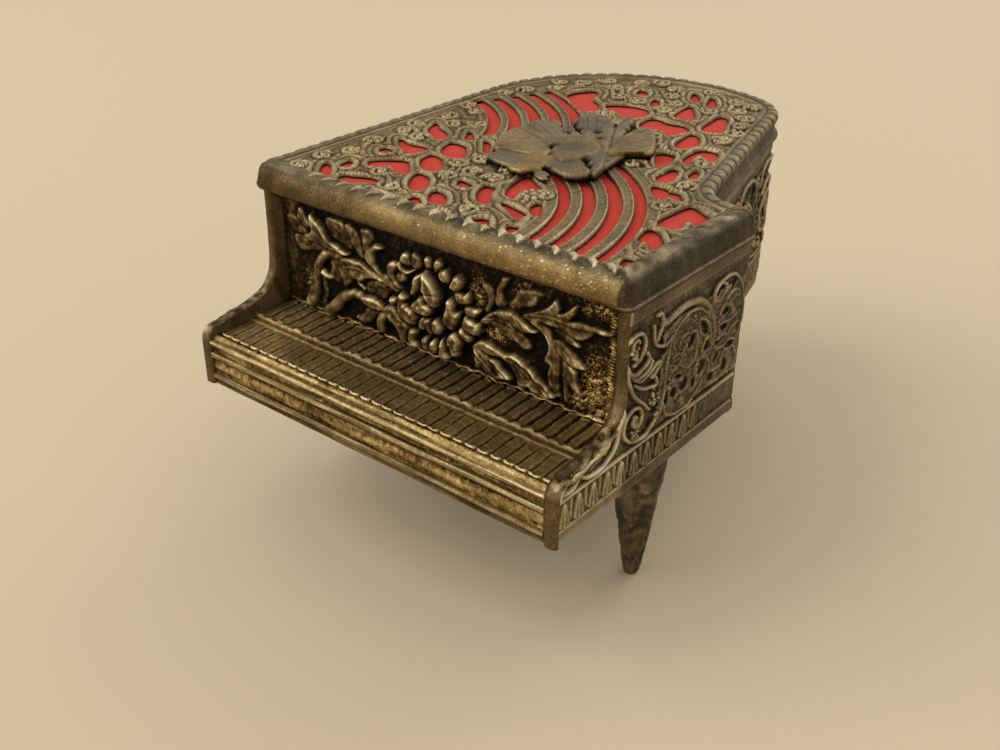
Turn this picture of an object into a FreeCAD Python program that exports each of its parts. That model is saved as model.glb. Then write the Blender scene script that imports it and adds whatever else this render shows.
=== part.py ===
import FreeCAD, Part
import math
import os
from FreeCAD import Vector

# A musical jewellery box in cast white metal, shaped like a small grand piano.
# Millimetres, +Z up. The piano's keyboard faces -Y and its tail points to +Y.
# Shapes are drawn in the case's own frame: x = 0 on the case's centre line,
# y = 0 at the lid's front lower edge and z = 0 on the table. move_to_row then
# puts the origin under the middle of the whole object.

os.makedirs("parts", exist_ok=True)

# Driving dimensions of the case
lid_width = 94.0
slip_front = -18.0
tail_end = 118.0
cheek_length = 44.8
tail_start = 92.0
leg_height = 31.6
wall_top = 69.4
lid_bottom = 69.65
lid_top = 75.35
lid_overhang = 0.8
wall_thickness = 2.4
base_thickness = 1.6
lid_plate_thickness = 1.6
lid_skirt = 2.2
lid_lip = 1.1
lid_upper_inset = [0.45, 0.45, 0.6, 0.6, 0.6, 0.6, 0.6]
lining_top = lid_top - lid_plate_thickness - 0.05
lining_thickness = 1.6
rivet_radius = 0.85

case_half = lid_width / 2 - lid_overhang
inner_half = case_half - wall_thickness
base_top = leg_height + base_thickness
inner_inset = lid_overhang + wall_thickness

# Keyboard end
arm_front = slip_front
arm_back = 1.6
panel_front = 5.3
panel_thickness = 1.8
panel_bottom = 41.4
slip_back = -15.4
key_back_z = 43.6
key_count = 30
key_span = 87.6

# Lid hinges, on the outside of the straight left side
knuckle_radius = 1.2
hinge_pin_radius = 0.5
hinge_clearance = 0.04
hinge_x = -case_half - knuckle_radius - 0.1
hinge_z = wall_top - knuckle_radius - 0.05
hinge_length = 14.0
hinge_centres = {"front": 18.0, "rear": 62.0}
leaf_thickness = 0.6

# Legs
leg_spots = {"front_left": (-39.2, 20.5), "front_right": (39.2, 20.5), "rear": (-10.0, 103.0)}
leg_tip_radius = 1.94
leg_taper = 0.132
screw_sink = 0.8

# Compartments
tray_wall = 1.2
tray_back = 41.2
tray_top = 68.6
cover_bottom = 59.6
cover_thickness = 1.2

# Musical movement, drawn in its own frame and turned half round into the case
movement_spot = Vector(-10.0, 66.0, base_top)
bed = {"x0": -26.0, "x1": 32.0, "y0": -21.0, "y1": 21.0, "thickness": 1.6}
mount_screws = [(-23.0, -17.5), (-23.0, 17.5), (28.5, -17.5)]
cylinder_y = 2.0
spring_x = -13.5
arbor_radius = 1.5
housing_radius = 11.4
housing_flange = 1.0
housing_top = 9.3
spring_turns = 4
crown_radius = 11.7
crown_teeth = 25
pinion_teeth = 10
pinion_radius = crown_radius * pinion_teeth / crown_teeth
crown_pitch_z = 11.2
cylinder_z = crown_pitch_z + pinion_radius
cylinder_radius = 6.5
cylinder_ends = (2.2, 20.4)
train_module = 0.547
train_wheel_teeth = 24
train_pinion_teeth = 8
worm_module = 0.48
worm_wheel_teeth = 20
worm_starts = 2
worm_radius = 1.3
worm_phase = 270.0
comb_teeth = 18
comb_under = cylinder_z - 0.6
comb_screw_spots = [(6.4, -17.8), (16.2, -17.8)]
train_distance = train_module * (train_wheel_teeth + train_pinion_teeth) / 2 + 0.06
train_slope = math.radians(20)
train_y = cylinder_y + train_distance * math.cos(train_slope)
train_z = cylinder_z - train_distance * math.sin(train_slope)
worm_x = 25.2
worm_y = train_y + worm_module * worm_wheel_teeth / 2 + worm_radius + 0.1
fly_radius = 4.2
stop_wire_spot = (18.4, 16.4)

row_shift = Vector(-(hinge_x - knuckle_radius + lid_width / 2) / 2, -(slip_front + tail_end) / 2, 0)


def move_to_row(shape):
    moved = shape.copy()
    moved.translate(row_shift)
    return moved


def save(name, shape):
    move_to_row(shape).exportStep("parts/" + name + ".step")


def block(x0, x1, y0, y1, z0, z1):
    return Part.makeBox(x1 - x0, y1 - y0, z1 - z0, Vector(x0, y0, z0))


def flat_sided(start, direction, reach, length, sides):
    across = Vector(direction.y, direction.z, direction.x)
    up = direction.cross(across)
    points = []
    for i in range(sides):
        a = 2 * math.pi * (i + 0.5) / sides
        points.append(start + across * (reach * math.cos(a)) + up * (reach * math.sin(a)))
    return Part.Face(Part.makePolygon(points + points[:1])).extrude(direction * length)


def rod(start, direction, radius, length, sides=16):
    # Slim round pieces have flat sides, with their corners on the radius
    return flat_sided(start, direction, radius, length, sides)


def bore(start, direction, radius, length, sides=16):
    # A hole's flats lie on its radius, so that a rod of that radius turns in it
    return flat_sided(start, direction, radius / math.cos(math.pi / sides), length, sides)


def shaft(start, direction, radius, length):
    # Turning shafts are fully round
    return Part.makeCylinder(radius, length, start, direction)


def upright(x, y, z0, z1, radius, sides=16):
    return rod(Vector(x, y, z0), Vector(0, 0, 1), radius, z1 - z0, sides)


def upright_bore(x, y, z0, z1, radius, sides=16):
    return bore(Vector(x, y, z0), Vector(0, 0, 1), radius, z1 - z0, sides)


def along_x(x0, x1, y, z, radius, sides=16):
    return rod(Vector(x0, y, z), Vector(1, 0, 0), radius, x1 - x0, sides)


def along_x_bore(x0, x1, y, z, radius, sides=16):
    return bore(Vector(x0, y, z), Vector(1, 0, 0), radius, x1 - x0, sides)


def fuse(shapes):
    return shapes[0].fuse(shapes[1:]).removeSplitter()


def group(shapes):
    return Part.makeCompound(shapes)


def prism(points, axis, depth):
    # A straight-sided plate: its corner points, carried along one direction
    wire = Part.makePolygon([Vector(*p) for p in points] + [Vector(*points[0])])
    return Part.Face(wire).extrude(Vector(*axis) * depth)


# The piano's plan: corner x, corner y and corner radius, anticlockwise from the
# left end of the keyboard. The sides are front, cheek, notch, bent side, tail
# shoulder, tail and spine.
plan = [
    (-lid_width / 2, 0.0, 3.0),
    (lid_width / 2, 0.0, 2.5),
    (lid_width / 2, cheek_length, 0.8),
    (35.6, cheek_length, 9.0),
    (18.7, 111.0, 17.0),
    (2.0, tail_end, 38.0),
    (-lid_width / 2, tail_end, 39.4),
]


def plan_wire(insets, z, straight=False):
    # Each side moves in by its own inset. A convex corner's radius shrinks by
    # the inset and a hollow corner's grows. Inner boards are cut with straight
    # strokes round the corners.
    if not isinstance(insets, (list, tuple)):
        insets = [insets] * len(plan)
    sides = []
    for i, (x0, y0, _) in enumerate(plan):
        x1, y1, _ = plan[(i + 1) % len(plan)]
        along = Vector(x1 - x0, y1 - y0, 0).normalize()
        inward = Vector(-along.y, along.x, 0)
        sides.append((Vector(x0, y0, z) + inward * insets[i], along))
    edges = []
    ends = []
    chords = []
    for i, (_, _, radius) in enumerate(plan):
        before, u = sides[i - 1]
        after, v = sides[i]
        turn = u.x * v.y - u.y * v.x
        gap = after - before
        corner = before + u * ((gap.x * v.y - gap.y * v.x) / turn)
        inset = (insets[i - 1] + insets[i]) / 2
        rounded = max(radius - inset, 0.25) if turn > 0 else radius + inset
        half_turn = math.acos(u.dot(v)) / 2
        reach = rounded * math.tan(half_turn)
        bisector = (v - u).normalize()
        centre = corner + bisector * (rounded / math.cos(half_turn))
        ends.append((corner - u * reach, centre - bisector * rounded, corner + v * reach))
        strokes = math.ceil(2 * half_turn / 0.27)
        reach = rounded if turn > 0 else rounded / math.cos(half_turn / strokes)
        forward = (u + v).normalize()
        for k in range(strokes + 1):
            a = half_turn * (2 * k / strokes - 1)
            chords.append(centre - bisector * (reach * math.cos(a)) + forward * (reach * math.sin(a)))
    if straight:
        return Part.makePolygon(chords + chords[:1])
    for i, (start, middle, end) in enumerate(ends):
        edges.append(Part.Arc(start, middle, end).toShape())
        edges.append(Part.LineSegment(end, ends[(i + 1) % len(ends)][0]).toShape())
    return Part.Wire(edges)


def plan_slab(insets, z0, z1, straight=False):
    return Part.Face(plan_wire(insets, z0, straight)).extrude(Vector(0, 0, z1 - z0))


def plan_ring(outer, inner, z0, z1):
    return plan_slab(outer, z0, z1).cut(plan_slab(inner, z0, z1))


# Castings of the case

def side_wall(x0, x1, back):
    # One flat casting: a straight back part, and in front the key arm with its
    # hollow curve down from the lid to the rounded nose.
    nose_z = 44.8
    outline = [
        Part.LineSegment(Vector(x0, back, leg_height), Vector(x0, back, wall_top)),
        Part.LineSegment(Vector(x0, back, wall_top), Vector(x0, arm_back, wall_top)),
        Part.LineSegment(Vector(x0, arm_back, wall_top), Vector(x0, arm_back, 54.0)),
        Part.Arc(Vector(x0, arm_back, 54.0), Vector(x0, -0.9, 48.4), Vector(x0, -7.0, 46.1)),
        Part.LineSegment(Vector(x0, -7.0, 46.1), Vector(x0, -15.4, nose_z)),
        Part.Arc(Vector(x0, -15.4, nose_z), Vector(x0, -17.3, 43.7), Vector(x0, arm_front, 41.6)),
        Part.LineSegment(Vector(x0, arm_front, 41.6), Vector(x0, arm_front, leg_height)),
        Part.LineSegment(Vector(x0, arm_front, leg_height), Vector(x0, back, leg_height)),
    ]
    wire = Part.Wire([line.toShape() for line in outline])
    return Part.Face(wire).extrude(Vector(x1 - x0, 0, 0))


def plinth_lines(wall, outer_x, side, back):
    # Two shallow grooves mark off the leaf band from the panel and the plinth
    depth = 0.35
    for z in (34.4, 40.5):
        inner_x = outer_x - side * depth
        x0 = min(inner_x, outer_x + side)
        x1 = max(inner_x, outer_x + side)
        wall = wall.cut(block(x0, x1, arm_front + 1.2, back - 1.5, z - 0.3, z + 0.3))
    return wall


def make_walls():
    spine_end = tail_end - plan[-1][2]
    left = side_wall(-case_half, -inner_half, spine_end)
    save("left_side_wall", plinth_lines(left, -case_half, -1, spine_end))
    cheek_end = cheek_length - lid_overhang
    right = side_wall(inner_half, case_half, cheek_end)
    save("right_side_wall", plinth_lines(right, case_half, 1, cheek_end))
    ring = plan_ring(lid_overhang, inner_inset, leg_height, wall_top)
    zone = [(-60, spine_end), (0, spine_end), (0, tail_start), (60, tail_start), (60, 130), (-60, 130)]
    tail_zone = prism([(x, y, 0) for x, y in zone], (0, 0, 1), 100)
    save("tail_wall", ring.common(tail_zone))
    bent_zone = block(10, inner_half, 30, tail_start, 0, 100)
    save("bent_side_wall", ring.common(bent_zone))


def make_front():
    panel_back = panel_front + panel_thickness
    panel = block(-inner_half, inner_half, panel_front, panel_back, panel_bottom, wall_top)
    save("front_panel", panel)

    # Keyboard: two stepped rows of keys with a rail between them
    profile = [
        (panel_front, panel_bottom), (panel_front, key_back_z), (-4.2, key_back_z), (-4.4, 44.0),
        (-5.0, 44.0), (-5.2, 43.1), (-6.5, 43.1), (-6.7, 42.7), (-14.7, 42.5), (-14.9, 42.9),
        (slip_back, 42.9), (slip_back, 41.0), (-4.0, 41.0), (-4.0, panel_bottom),
    ]
    board = prism([(-inner_half, y, z) for y, z in profile], (1, 0, 0), 2 * inner_half)
    pitch = key_span / key_count
    cuts = []
    for i in range(1, key_count):
        x = -key_span / 2 + i * pitch
        cuts.append(block(x - 0.25, x + 0.25, -3.9, panel_front - 0.6, key_back_z - 0.45, key_back_z + 1))
        cuts.append(block(x - 0.2, x + 0.2, -14.5, -7.0, 42.15, 43.5))
    save("keyboard", board.cut(group(cuts)))

    # Key slip: three long ridges with hollows between, over a plain foot
    slip = [
        (slip_back, 42.9), (-16.4, 42.8), (-16.9, 42.0), (-17.7, 41.8), (-17.8, 41.0), (-17.0, 40.6),
        (-17.1, 39.4), (-17.7, 39.1), (-17.8, 38.0), (-17.0, 37.4), (-17.1, 34.6), (-17.7, 34.2),
        (-17.8, 33.2), (-17.3, 32.9), (-17.3, leg_height), (slip_back, leg_height),
    ]
    save("key_slip", prism([(-inner_half, y, z) for y, z in slip], (1, 0, 0), 2 * inner_half))


def make_base():
    floor = plan_slab(inner_inset, leg_height, base_top, True)
    floor = fuse([floor, block(-inner_half, inner_half, slip_back, 8.0, leg_height, base_top)])
    holes = []
    for x, y in leg_spots.values():
        holes.append(upright_bore(x, y, leg_height - 1, base_top + 1, 1.25, 8))
        holes.append(upright_bore(x, y, base_top - screw_sink, base_top + 1, 2.55, 10))
    for x, y in movement_screw_spots():
        holes.append(upright_bore(x, y, leg_height - 1, base_top + 1, 1.1, 10))
    key_x, key_y = arbor_spot()
    holes.append(upright_bore(key_x, key_y, leg_height - 1, base_top + 1, 3.2, 12))
    save("base_plate", floor.cut(holes))


def tapered(levels, sides):
    # A many-sided taper from a list of heights and corner radii
    rings = []
    for z, radius in levels:
        angles = [2 * math.pi * (i + 0.5) / sides for i in range(sides)]
        rings.append([Vector(radius * math.cos(a), radius * math.sin(a), z) for a in angles])
    faces = [Part.Face(Part.makePolygon(ring + ring[:1])) for ring in (rings[0], rings[-1])]
    for low, high in zip(rings, rings[1:]):
        for i in range(sides):
            j = (i + 1) % sides
            faces.append(Part.Face(Part.makePolygon([low[i], low[j], high[j], high[i], low[i]])))
    solid = Part.Solid(Part.Shell(faces))
    if solid.Volume < 0:
        solid.reverse()
    return solid


def make_legs():
    # A slim cone, wide under the case, with a blunt foot worn flat
    slope_start = 1.4
    levels = [(0.0, 1.1), (0.35, 1.7)]
    levels += [(z, leg_tip_radius + leg_taper * z) for z in (slope_start, leg_height)]
    for name, (x, y) in leg_spots.items():
        leg = tapered(levels, 12)
        leg.translate(Vector(x, y, 0))
        save(name + "_leg", leg.cut(upright_bore(x, y, leg_height - 8, leg_height + 1, 1.25, 10)))
    screws = []
    for x, y in leg_spots.values():
        screws.append(screw(x, y, base_top - screw_sink, 1, 2.5, screw_sink - 0.02, 1.2, 6.7))
    save("leg_screws", group(screws))


def screw(x, y, seat_z, up, head_radius, head_height, radius, length):
    # The head rises from its seat and the shank goes the other way; up is 1 or -1
    head_z = sorted((seat_z, seat_z + up * head_height))
    shank_z = sorted((seat_z, seat_z - up * length))
    head = upright(x, y, head_z[0], head_z[1], head_radius, 12)
    return head.fuse(upright(x, y, shank_z[0], shank_z[1], radius, 10))


# Lid

def arc_slot(centre, inner, outer, start, end, z0, z1):
    # A curved slot between two circles round one centre, from start to end degrees
    def on(radius, degrees):
        a = math.radians(degrees)
        return Vector(centre[0] + radius * math.cos(a), centre[1] + radius * math.sin(a), z0)
    middle = (start + end) / 2
    wire = Part.Wire([
        Part.Arc(on(outer, start), on(outer, middle), on(outer, end)).toShape(),
        Part.LineSegment(on(outer, end), on(inner, end)).toShape(),
        Part.Arc(on(inner, end), on(inner, middle), on(inner, start)).toShape(),
        Part.LineSegment(on(inner, start), on(outer, start)).toShape(),
    ])
    return Part.Face(wire).extrude(Vector(0, 0, z1 - z0))


def leaf_hole(x, y, length, width, degrees, z0, z1):
    # A pointed oval, the shape left open between two scrolls
    shape = ((0.5, 0.0), (0.2, 0.46), (-0.2, 0.46), (-0.5, 0.0), (-0.2, -0.46), (0.2, -0.46))
    hole = prism([(u * length, v * width, 0) for u, v in shape], (0, 0, 1), z1 - z0)
    hole.rotate(Vector(0, 0, 0), Vector(0, 0, 1), degrees)
    hole.translate(Vector(x, y, z0))
    return hole


# Openings between the scrolls: x, y, length, width and turn
scroll_holes = [
    (-21.3, 34.9, 7.0, 4.6, 130), (-19.6, 25.8, 8.0, 4.4, 135), (-13.8, 15.3, 7.6, 4.4, 130),
    (-5.0, 10.6, 6.0, 3.6, 140), (-13.5, 4.9, 9.0, 2.8, 5), (-25.6, 6.4, 5.6, 4.2, 60),
    (-30.5, 29.0, 9.0, 3.6, 140), (-32.6, 41.4, 8.0, 3.4, 140), (-24.6, 19.0, 7.0, 3.0, 155),
    (3.6, 27.0, 9.0, 4.2, 110), (1.2, 18.2, 7.0, 3.2, 130),
    (10.6, 5.8, 7.0, 3.2, 120), (38.2, 33.6, 9.0, 4.6, 95),
    (38.8, 20.4, 6.4, 4.0, 110), (22.4, 51.4, 6.0, 2.6, 110), (15.6, 59.4, 7.0, 3.6, 115),
    (22.6, 68.0, 8.0, 3.2, 100), (14.2, 73.0, 9.0, 3.6, 95), (4.4, 80.4, 10.0, 5.0, 10),
    (12.8, 88.4, 10.0, 4.0, 105), (2.2, 91.6, 8.0, 3.6, 110), (-9.6, 86.6, 10.0, 4.6, 20),
    (2.4, 103.8, 7.0, 2.4, 115), (-24.5, 92.5, 7.0, 3.0, 120),
]

# The five curved bands: they sweep from the front edge round towards the flower,
# and leave it again on the far side towards the spine.
band_centre = (-18.5, 3.0)
band_gaps = [(39.3, 41.3), (44.0, 46.2), (49.0, 51.4), (54.0, 56.0)]
far_centre = (-58.5, 32.5)
far_gaps = [(37.6, 40.2), (42.4, 45.0), (47.2, 49.8), (52.0, 54.6), (56.8, 59.4)]
flower_centre = (-4.0, 54.5)
flower_boss = (19.0, 23.0)


def make_lid():
    # A lip round the lower edge, nearly upright sides above it, and a sloping nose
    # along the keyboard and the cheek
    lip = plan_slab(0, lid_bottom, lid_bottom + lid_lip)
    body = fuse([lip, plan_slab(lid_upper_inset, lid_bottom + lid_lip, lid_top)])
    outside = lid_width / 2 + 1
    nose_side = 0.45
    nose_low = (nose_side, lid_top - 2.1)
    nose_high = (2.5, lid_top)
    wedge = [nose_low, nose_high, (nose_high[0], lid_top + 2), (-1.0, lid_top + 2), (-1.0, nose_low[1])]
    front_cut = prism([(-outside, y, z) for y, z in wedge], (1, 0, 0), 2 * outside)
    cheek_cut = prism([(lid_width / 2 - d, -1, z) for d, z in wedge], (0, 1, 0), cheek_length + 2)
    plate_bottom = lid_top - lid_plate_thickness
    body = body.cut([front_cut, cheek_cut, plan_slab(lid_skirt, lid_bottom - 1, plate_bottom, True)])

    z0 = plate_bottom - 1
    z1 = lid_top + 1
    field = plan_slab([3.2, 4.6, 3.6, 3.6, 3.6, 4.0, 9.0], z0, z1)
    boss_corners = []
    for i in range(16):
        a = 2 * math.pi * i / 16
        boss_corners.append((flower_boss[1] * math.cos(a), flower_boss[0] * math.sin(a), 0))
    boss = prism(boss_corners, (0, 0, 1), z1 - z0)
    boss.rotate(Vector(0, 0, 0), Vector(0, 0, 1), 70)
    boss.translate(Vector(flower_centre[0], flower_centre[1], z0))
    holes = [arc_slot(band_centre, a, b, 3, 68, z0, z1) for a, b in band_gaps]
    holes += [arc_slot(far_centre, a, b, 22, 66, z0, z1) for a, b in far_gaps]
    holes = [hole.common(field).cut(boss) for hole in holes]
    holes += [leaf_hole(*spec, z0, z1) for spec in scroll_holes]
    holes += [upright_bore(x, y, z0, z1, rivet_radius, 8) for x, y in rivet_spots()]
    save("lid_casting", body.cut(holes))

    # Felt on a board, held under the openwork
    save("lid_lining", plan_slab(lid_skirt + 0.1, lining_top - lining_thickness, lining_top, True))


def rivet_spots():
    x, y = flower_centre
    return [(x, y - 5.0), (x, y + 5.0)]


def petal(length, width, root, lift, degrees, z):
    # A broad petal: narrow at its root, widest near its round end, tilted up a little
    half = ((root, 0.22), (0.45 * length, 0.42), (0.8 * length, 0.5), (length, 0.2))
    points = [(x, -share * width, 0) for x, share in half]
    points += [(x, share * width, 0) for x, share in reversed(half)]
    shape = prism(points, (0, 0, 1), 0.9)
    shape.rotate(Vector(0, 0, 0), Vector(0, 1, 0), -lift)
    shape.rotate(Vector(0, 0, 0), Vector(0, 0, 1), degrees)
    shape.translate(Vector(flower_centre[0], flower_centre[1], z))
    return shape


def make_flower():
    low = lid_top + 0.02
    lengths = [21.0, 18.0, 22.0, 19.0, 18.5, 21.5]
    petals = [petal(size, 15.5, 1.0, 2.5, 25 + 60 * i, low) for i, size in enumerate(lengths)]
    petals += [petal(11.0, 10.0, 0.8, 4.0, 50 + 90 * i, low + 0.8) for i in range(4)]
    petals.append(upright(flower_centre[0], flower_centre[1], low, low + 2.3, 3.6, 10))
    flower = fuse(petals).common(block(-60, 60, -20, 130, low, 90))
    rivet_top = low + 0.8
    for x, y in rivet_spots():
        flower = flower.cut(upright_bore(x, y, low - 1, rivet_top + 0.05, rivet_radius, 8))
    save("lid_flower", flower)
    rivets = []
    for x, y in rivet_spots():
        rivets.append(upright(x, y, lining_top + 0.05, rivet_top, rivet_radius - 0.05, 8))
    save("flower_rivets", group(rivets))


def make_hinges():
    third = hinge_length / 3
    gap = 0.1
    hole_radius = hinge_pin_radius + hinge_clearance
    for name, centre in hinge_centres.items():
        start = centre - hinge_length / 2

        def knuckle(y0, y1):
            return rod(Vector(hinge_x, y0, hinge_z), Vector(0, 1, 0), knuckle_radius, y1 - y0, 14)

        hole_start = Vector(hinge_x, start - 1, hinge_z)
        pin_hole = bore(hole_start, Vector(0, 1, 0), hole_radius, hinge_length + 2, 12)
        case_parts = []
        for y0 in (start, start + 2 * third):
            y1 = y0 + third - gap
            case_parts.append(knuckle(y0, y1))
            case_parts.append(block(hinge_x + 0.55, -case_half, y0, y1, hinge_z - 1.6, hinge_z))
        end = start + hinge_length - gap
        case_x = -case_half - leaf_thickness
        case_parts.append(block(case_x, -case_half, start, end, hinge_z - 7.0, hinge_z - 1.5))
        save(name + "_case_leaf", fuse(case_parts).cut(pin_hole))
        y0 = start + third
        y1 = start + 2 * third - gap
        lid_edge = -lid_width / 2
        lid_x = lid_edge - leaf_thickness
        lid_parts = [
            knuckle(y0, y1),
            block(lid_x, lid_edge, y0, y1, hinge_z, lid_bottom + 0.7),
            block(lid_x, lid_edge, start, end, lid_bottom + 0.3, lid_bottom + 4.2),
        ]
        save(name + "_lid_leaf", fuse(lid_parts).cut(pin_hole))
        pin_start = Vector(hinge_x, start - 0.3, hinge_z)
        pin = shaft(pin_start, Vector(0, 1, 0), hinge_pin_radius, hinge_length + 0.5)
        save(name + "_hinge_pin", pin)


# Inside of the case

def make_compartments():
    gap = 0.1
    x0 = -inner_half + gap
    x1 = inner_half - gap
    y0 = panel_front + panel_thickness + gap
    tray = block(x0, x1, y0, tray_back, base_top, tray_top)
    tray = tray.makeChamfer(1.2, [edge for edge in tray.Edges if abs(edge.tangentAt(0).z) > 0.9])
    hollow = block(x0 + tray_wall, x1 - tray_wall, y0 + tray_wall, tray_back - tray_wall,
                   base_top + tray_wall, tray_top + 1)
    hollow = hollow.makeFillet(1.2, [edge for edge in hollow.Edges if abs(edge.tangentAt(0).z) > 0.9])
    save("jewel_tray", tray.cut(hollow))

    back_zone = block(-60, 60, tray_back + gap, 130, 0, 100)
    cover_top = cover_bottom + cover_thickness
    cover = plan_slab(inner_inset + gap, cover_bottom, cover_top, True).common(back_zone)
    wire_x, wire_y = case_point(stop_wire_spot)
    save("movement_cover", cover.cut(upright_bore(wire_x, wire_y, cover_bottom - 1, cover_top + 1, 1.5)))
    ledge = plan_ring(inner_inset + gap, inner_inset + 1.7, cover_bottom - 2, cover_bottom)
    left = ledge.common(block(-60, -20, 44, 76, 0, 100))
    right = ledge.common(block(10, 60, 54, 88, 0, 100))
    save("cover_ledges", group([left, right]))


# Musical movement

def in_case(shape):
    placed = shape.copy()
    placed.rotate(Vector(0, 0, 0), Vector(0, 0, 1), 180)
    placed.translate(movement_spot)
    return placed


def case_point(point):
    return (movement_spot.x - point[0], movement_spot.y - point[1])


def save_movement(name, shape):
    save(name, in_case(shape))


def arbor_spot():
    return case_point((spring_x, cylinder_y))


def movement_screw_spots():
    return [case_point(spot) for spot in mount_screws]


def spur_wheel(teeth, module, x0, x1, y, z, arbor, phase, thickness_share):
    # Trapezoid teeth round a disc; each tooth takes its share of the pitch
    pitch_radius = module * teeth / 2
    root = pitch_radius - 1.15 * module
    tip = pitch_radius + 0.85 * module
    points = []
    step = 2 * math.pi / teeth
    for i in range(teeth):
        a = phase + i * step
        for radius, half in ((root, thickness_share * 0.72), (tip, thickness_share * 0.34)):
            points.append((radius, a - half * step))
        for radius, half in ((tip, thickness_share * 0.34), (root, thickness_share * 0.72)):
            points.append((radius, a + half * step))
    corners = [(x0, y + r * math.sin(a), z + r * math.cos(a)) for r, a in points]
    wheel = prism(corners, (1, 0, 0), x1 - x0)
    if wheel.Volume < 0:
        wheel.reverse()
    return wheel.cut(along_x_bore(x0 - 1, x1 + 1, y, z, arbor, 12))


def make_bedplate():
    b = bed
    plate = block(b["x0"], b["x1"], b["y0"], b["y1"], 0, b["thickness"])
    plate = plate.makeChamfer(3.0, [edge for edge in plate.Edges if edge.Length < 2.0])
    bearing = 0.83
    parts = [plate]
    for x0, x1 in ((0.0, 1.4), (22.8, 24.0)):
        post = [(-2.4, 1.0), (2.4, 1.0), (2.2, cylinder_z + 0.6), (0.9, cylinder_z + 2.0),
                (-0.9, cylinder_z + 2.0), (-2.2, cylinder_z + 0.6)]
        parts.append(prism([(x0, cylinder_y + y, z) for y, z in post], (1, 0, 0), x1 - x0))
    parts.append(block(2.0, 20.6, -20.6, -15.0, 1.0, comb_under))
    casting = fuse(parts)
    holes = [along_x_bore(-1, 30, cylinder_y, cylinder_z, bearing)]
    holes.append(upright_bore(spring_x, cylinder_y, -1, 3, arbor_radius + 0.04))
    holes += [upright_bore(x, y, -1, 3, 1.05, 10) for x, y in mount_screws]
    holes += [upright_bore(x, y, comb_under - 5, comb_under + 1, 0.95, 10) for x, y in comb_screw_spots]
    save_movement("movement_bedplate", casting.cut(holes))


def make_comb():
    # Eighteen tuned teeth cut in one steel plate, thick at the back and thin in front
    tip_y = cylinder_y - cylinder_radius - 0.3
    root_y = -14.6
    back_y = -21.0
    x0, x1 = 2.6, 20.0
    top = comb_under + 1.1
    profile = [(back_y, comb_under), (root_y, comb_under), (root_y + 1.0, top - 0.6), (tip_y, top - 0.5),
               (tip_y, top), (back_y, top)]
    comb = prism([(x0, y, z) for y, z in profile], (1, 0, 0), x1 - x0)
    pitch = (x1 - x0) / comb_teeth
    slots = [block(x0 + i * pitch - 0.12, x0 + i * pitch + 0.12, root_y + 0.6, tip_y + 1, 0, top + 1)
             for i in range(1, comb_teeth)]
    comb = comb.cut(slots)
    holes = [upright_bore(x, y, comb_under - 1, top + 1, 1.0, 10) for x, y in comb_screw_spots]
    save_movement("comb", comb.cut(holes))
    screws = [screw(x, y, top, 1, 1.8, 0.9, 0.9, 4.0) for x, y in comb_screw_spots]
    save_movement("comb_screws", group(screws))


def make_spring_drive():
    top = housing_top
    bottom = bed["thickness"]
    cup = upright(spring_x, cylinder_y, bottom, top, housing_radius, 30)
    ears = block(spring_x - 2.2, spring_x + 2.2, cylinder_y - 15.0, cylinder_y + 15.0, bottom,
                 bottom + housing_flange)
    cup = fuse([cup, ears])
    cup = cup.cut(upright(spring_x, cylinder_y, bottom - 1, top - 0.6, housing_radius - 0.6, 30))
    save_movement("spring_housing", cup.cut(upright_bore(spring_x, cylinder_y, 0, 20, 1.75)))

    # Mainspring: a thin steel ribbon wound between the arbor and the cup
    steps_per_turn = 9
    inner = 2.4
    pitch = (housing_radius - 0.6 - inner - 0.8) / spring_turns
    count = spring_turns * steps_per_turn

    def spiral(offset):
        points = []
        for i in range(count + 1):
            a = 2 * math.pi * i / steps_per_turn
            r = inner + pitch * i / steps_per_turn + offset
            points.append((spring_x + r * math.cos(a), cylinder_y + r * math.sin(a), bottom + 0.6))
        return points

    ribbon = prism(spiral(0.35) + spiral(0.0)[::-1], (0, 0, 1), 6.0)
    save_movement("mainspring", ribbon)

    # Arbor, from the crown wheel down through the bedplate and the base to the key. The
    # wheel and the key share its bore.
    low = -(base_thickness + 11.5)
    arbor = shaft(Vector(spring_x, cylinder_y, low), Vector(0, 0, 1), arbor_radius, 12.4 - low)
    save_movement("winding_arbor", arbor)
    fitted = upright_bore(spring_x, cylinder_y, low - 0.02, 20, arbor_radius, 12)

    # Crown wheel: a disc whose teeth stand up round its rim
    disc = upright(spring_x, cylinder_y, top + 0.3, crown_pitch_z - 0.9, crown_radius + 0.9, crown_teeth)
    step = 2 * math.pi / crown_teeth
    z0 = crown_pitch_z - 1.0
    z1 = crown_pitch_z + 0.45
    pitch = crown_radius * step
    teeth = []
    for i in range(crown_teeth):
        profile = [(-0.17 * pitch, z0), (0.17 * pitch, z0), (0.10 * pitch, z1), (-0.10 * pitch, z1)]
        tooth = prism([(crown_radius - 0.9, y, z) for y, z in profile], (1, 0, 0), 1.7)
        tooth.rotate(Vector(0, 0, 0), Vector(0, 0, 1), math.degrees((i + 0.5) * step))
        tooth.translate(Vector(spring_x, cylinder_y, 0))
        teeth.append(tooth)
    crown = fuse([disc] + teeth).cut(fitted)
    save_movement("crown_wheel", crown)

    # Butterfly key on the arbor's lower end
    hub_top = -(base_thickness + 1.2)
    hub = upright(spring_x, cylinder_y, low - 1.0, hub_top, 2.7)
    wing_spots = [Vector(spring_x + side * 6.0, cylinder_y - 0.8, low - 0.5) for side in (-1, 1)]
    wings = [rod(spot, Vector(0, 1, 0), 5.2, 1.6, 22) for spot in wing_spots]
    web = block(spring_x - 6, spring_x + 6, cylinder_y - 0.8, cylinder_y + 0.8, low - 3.2, low + 3.2)
    key = fuse([hub, web] + wings).cut(fitted)
    save_movement("winding_key", key)


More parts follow.
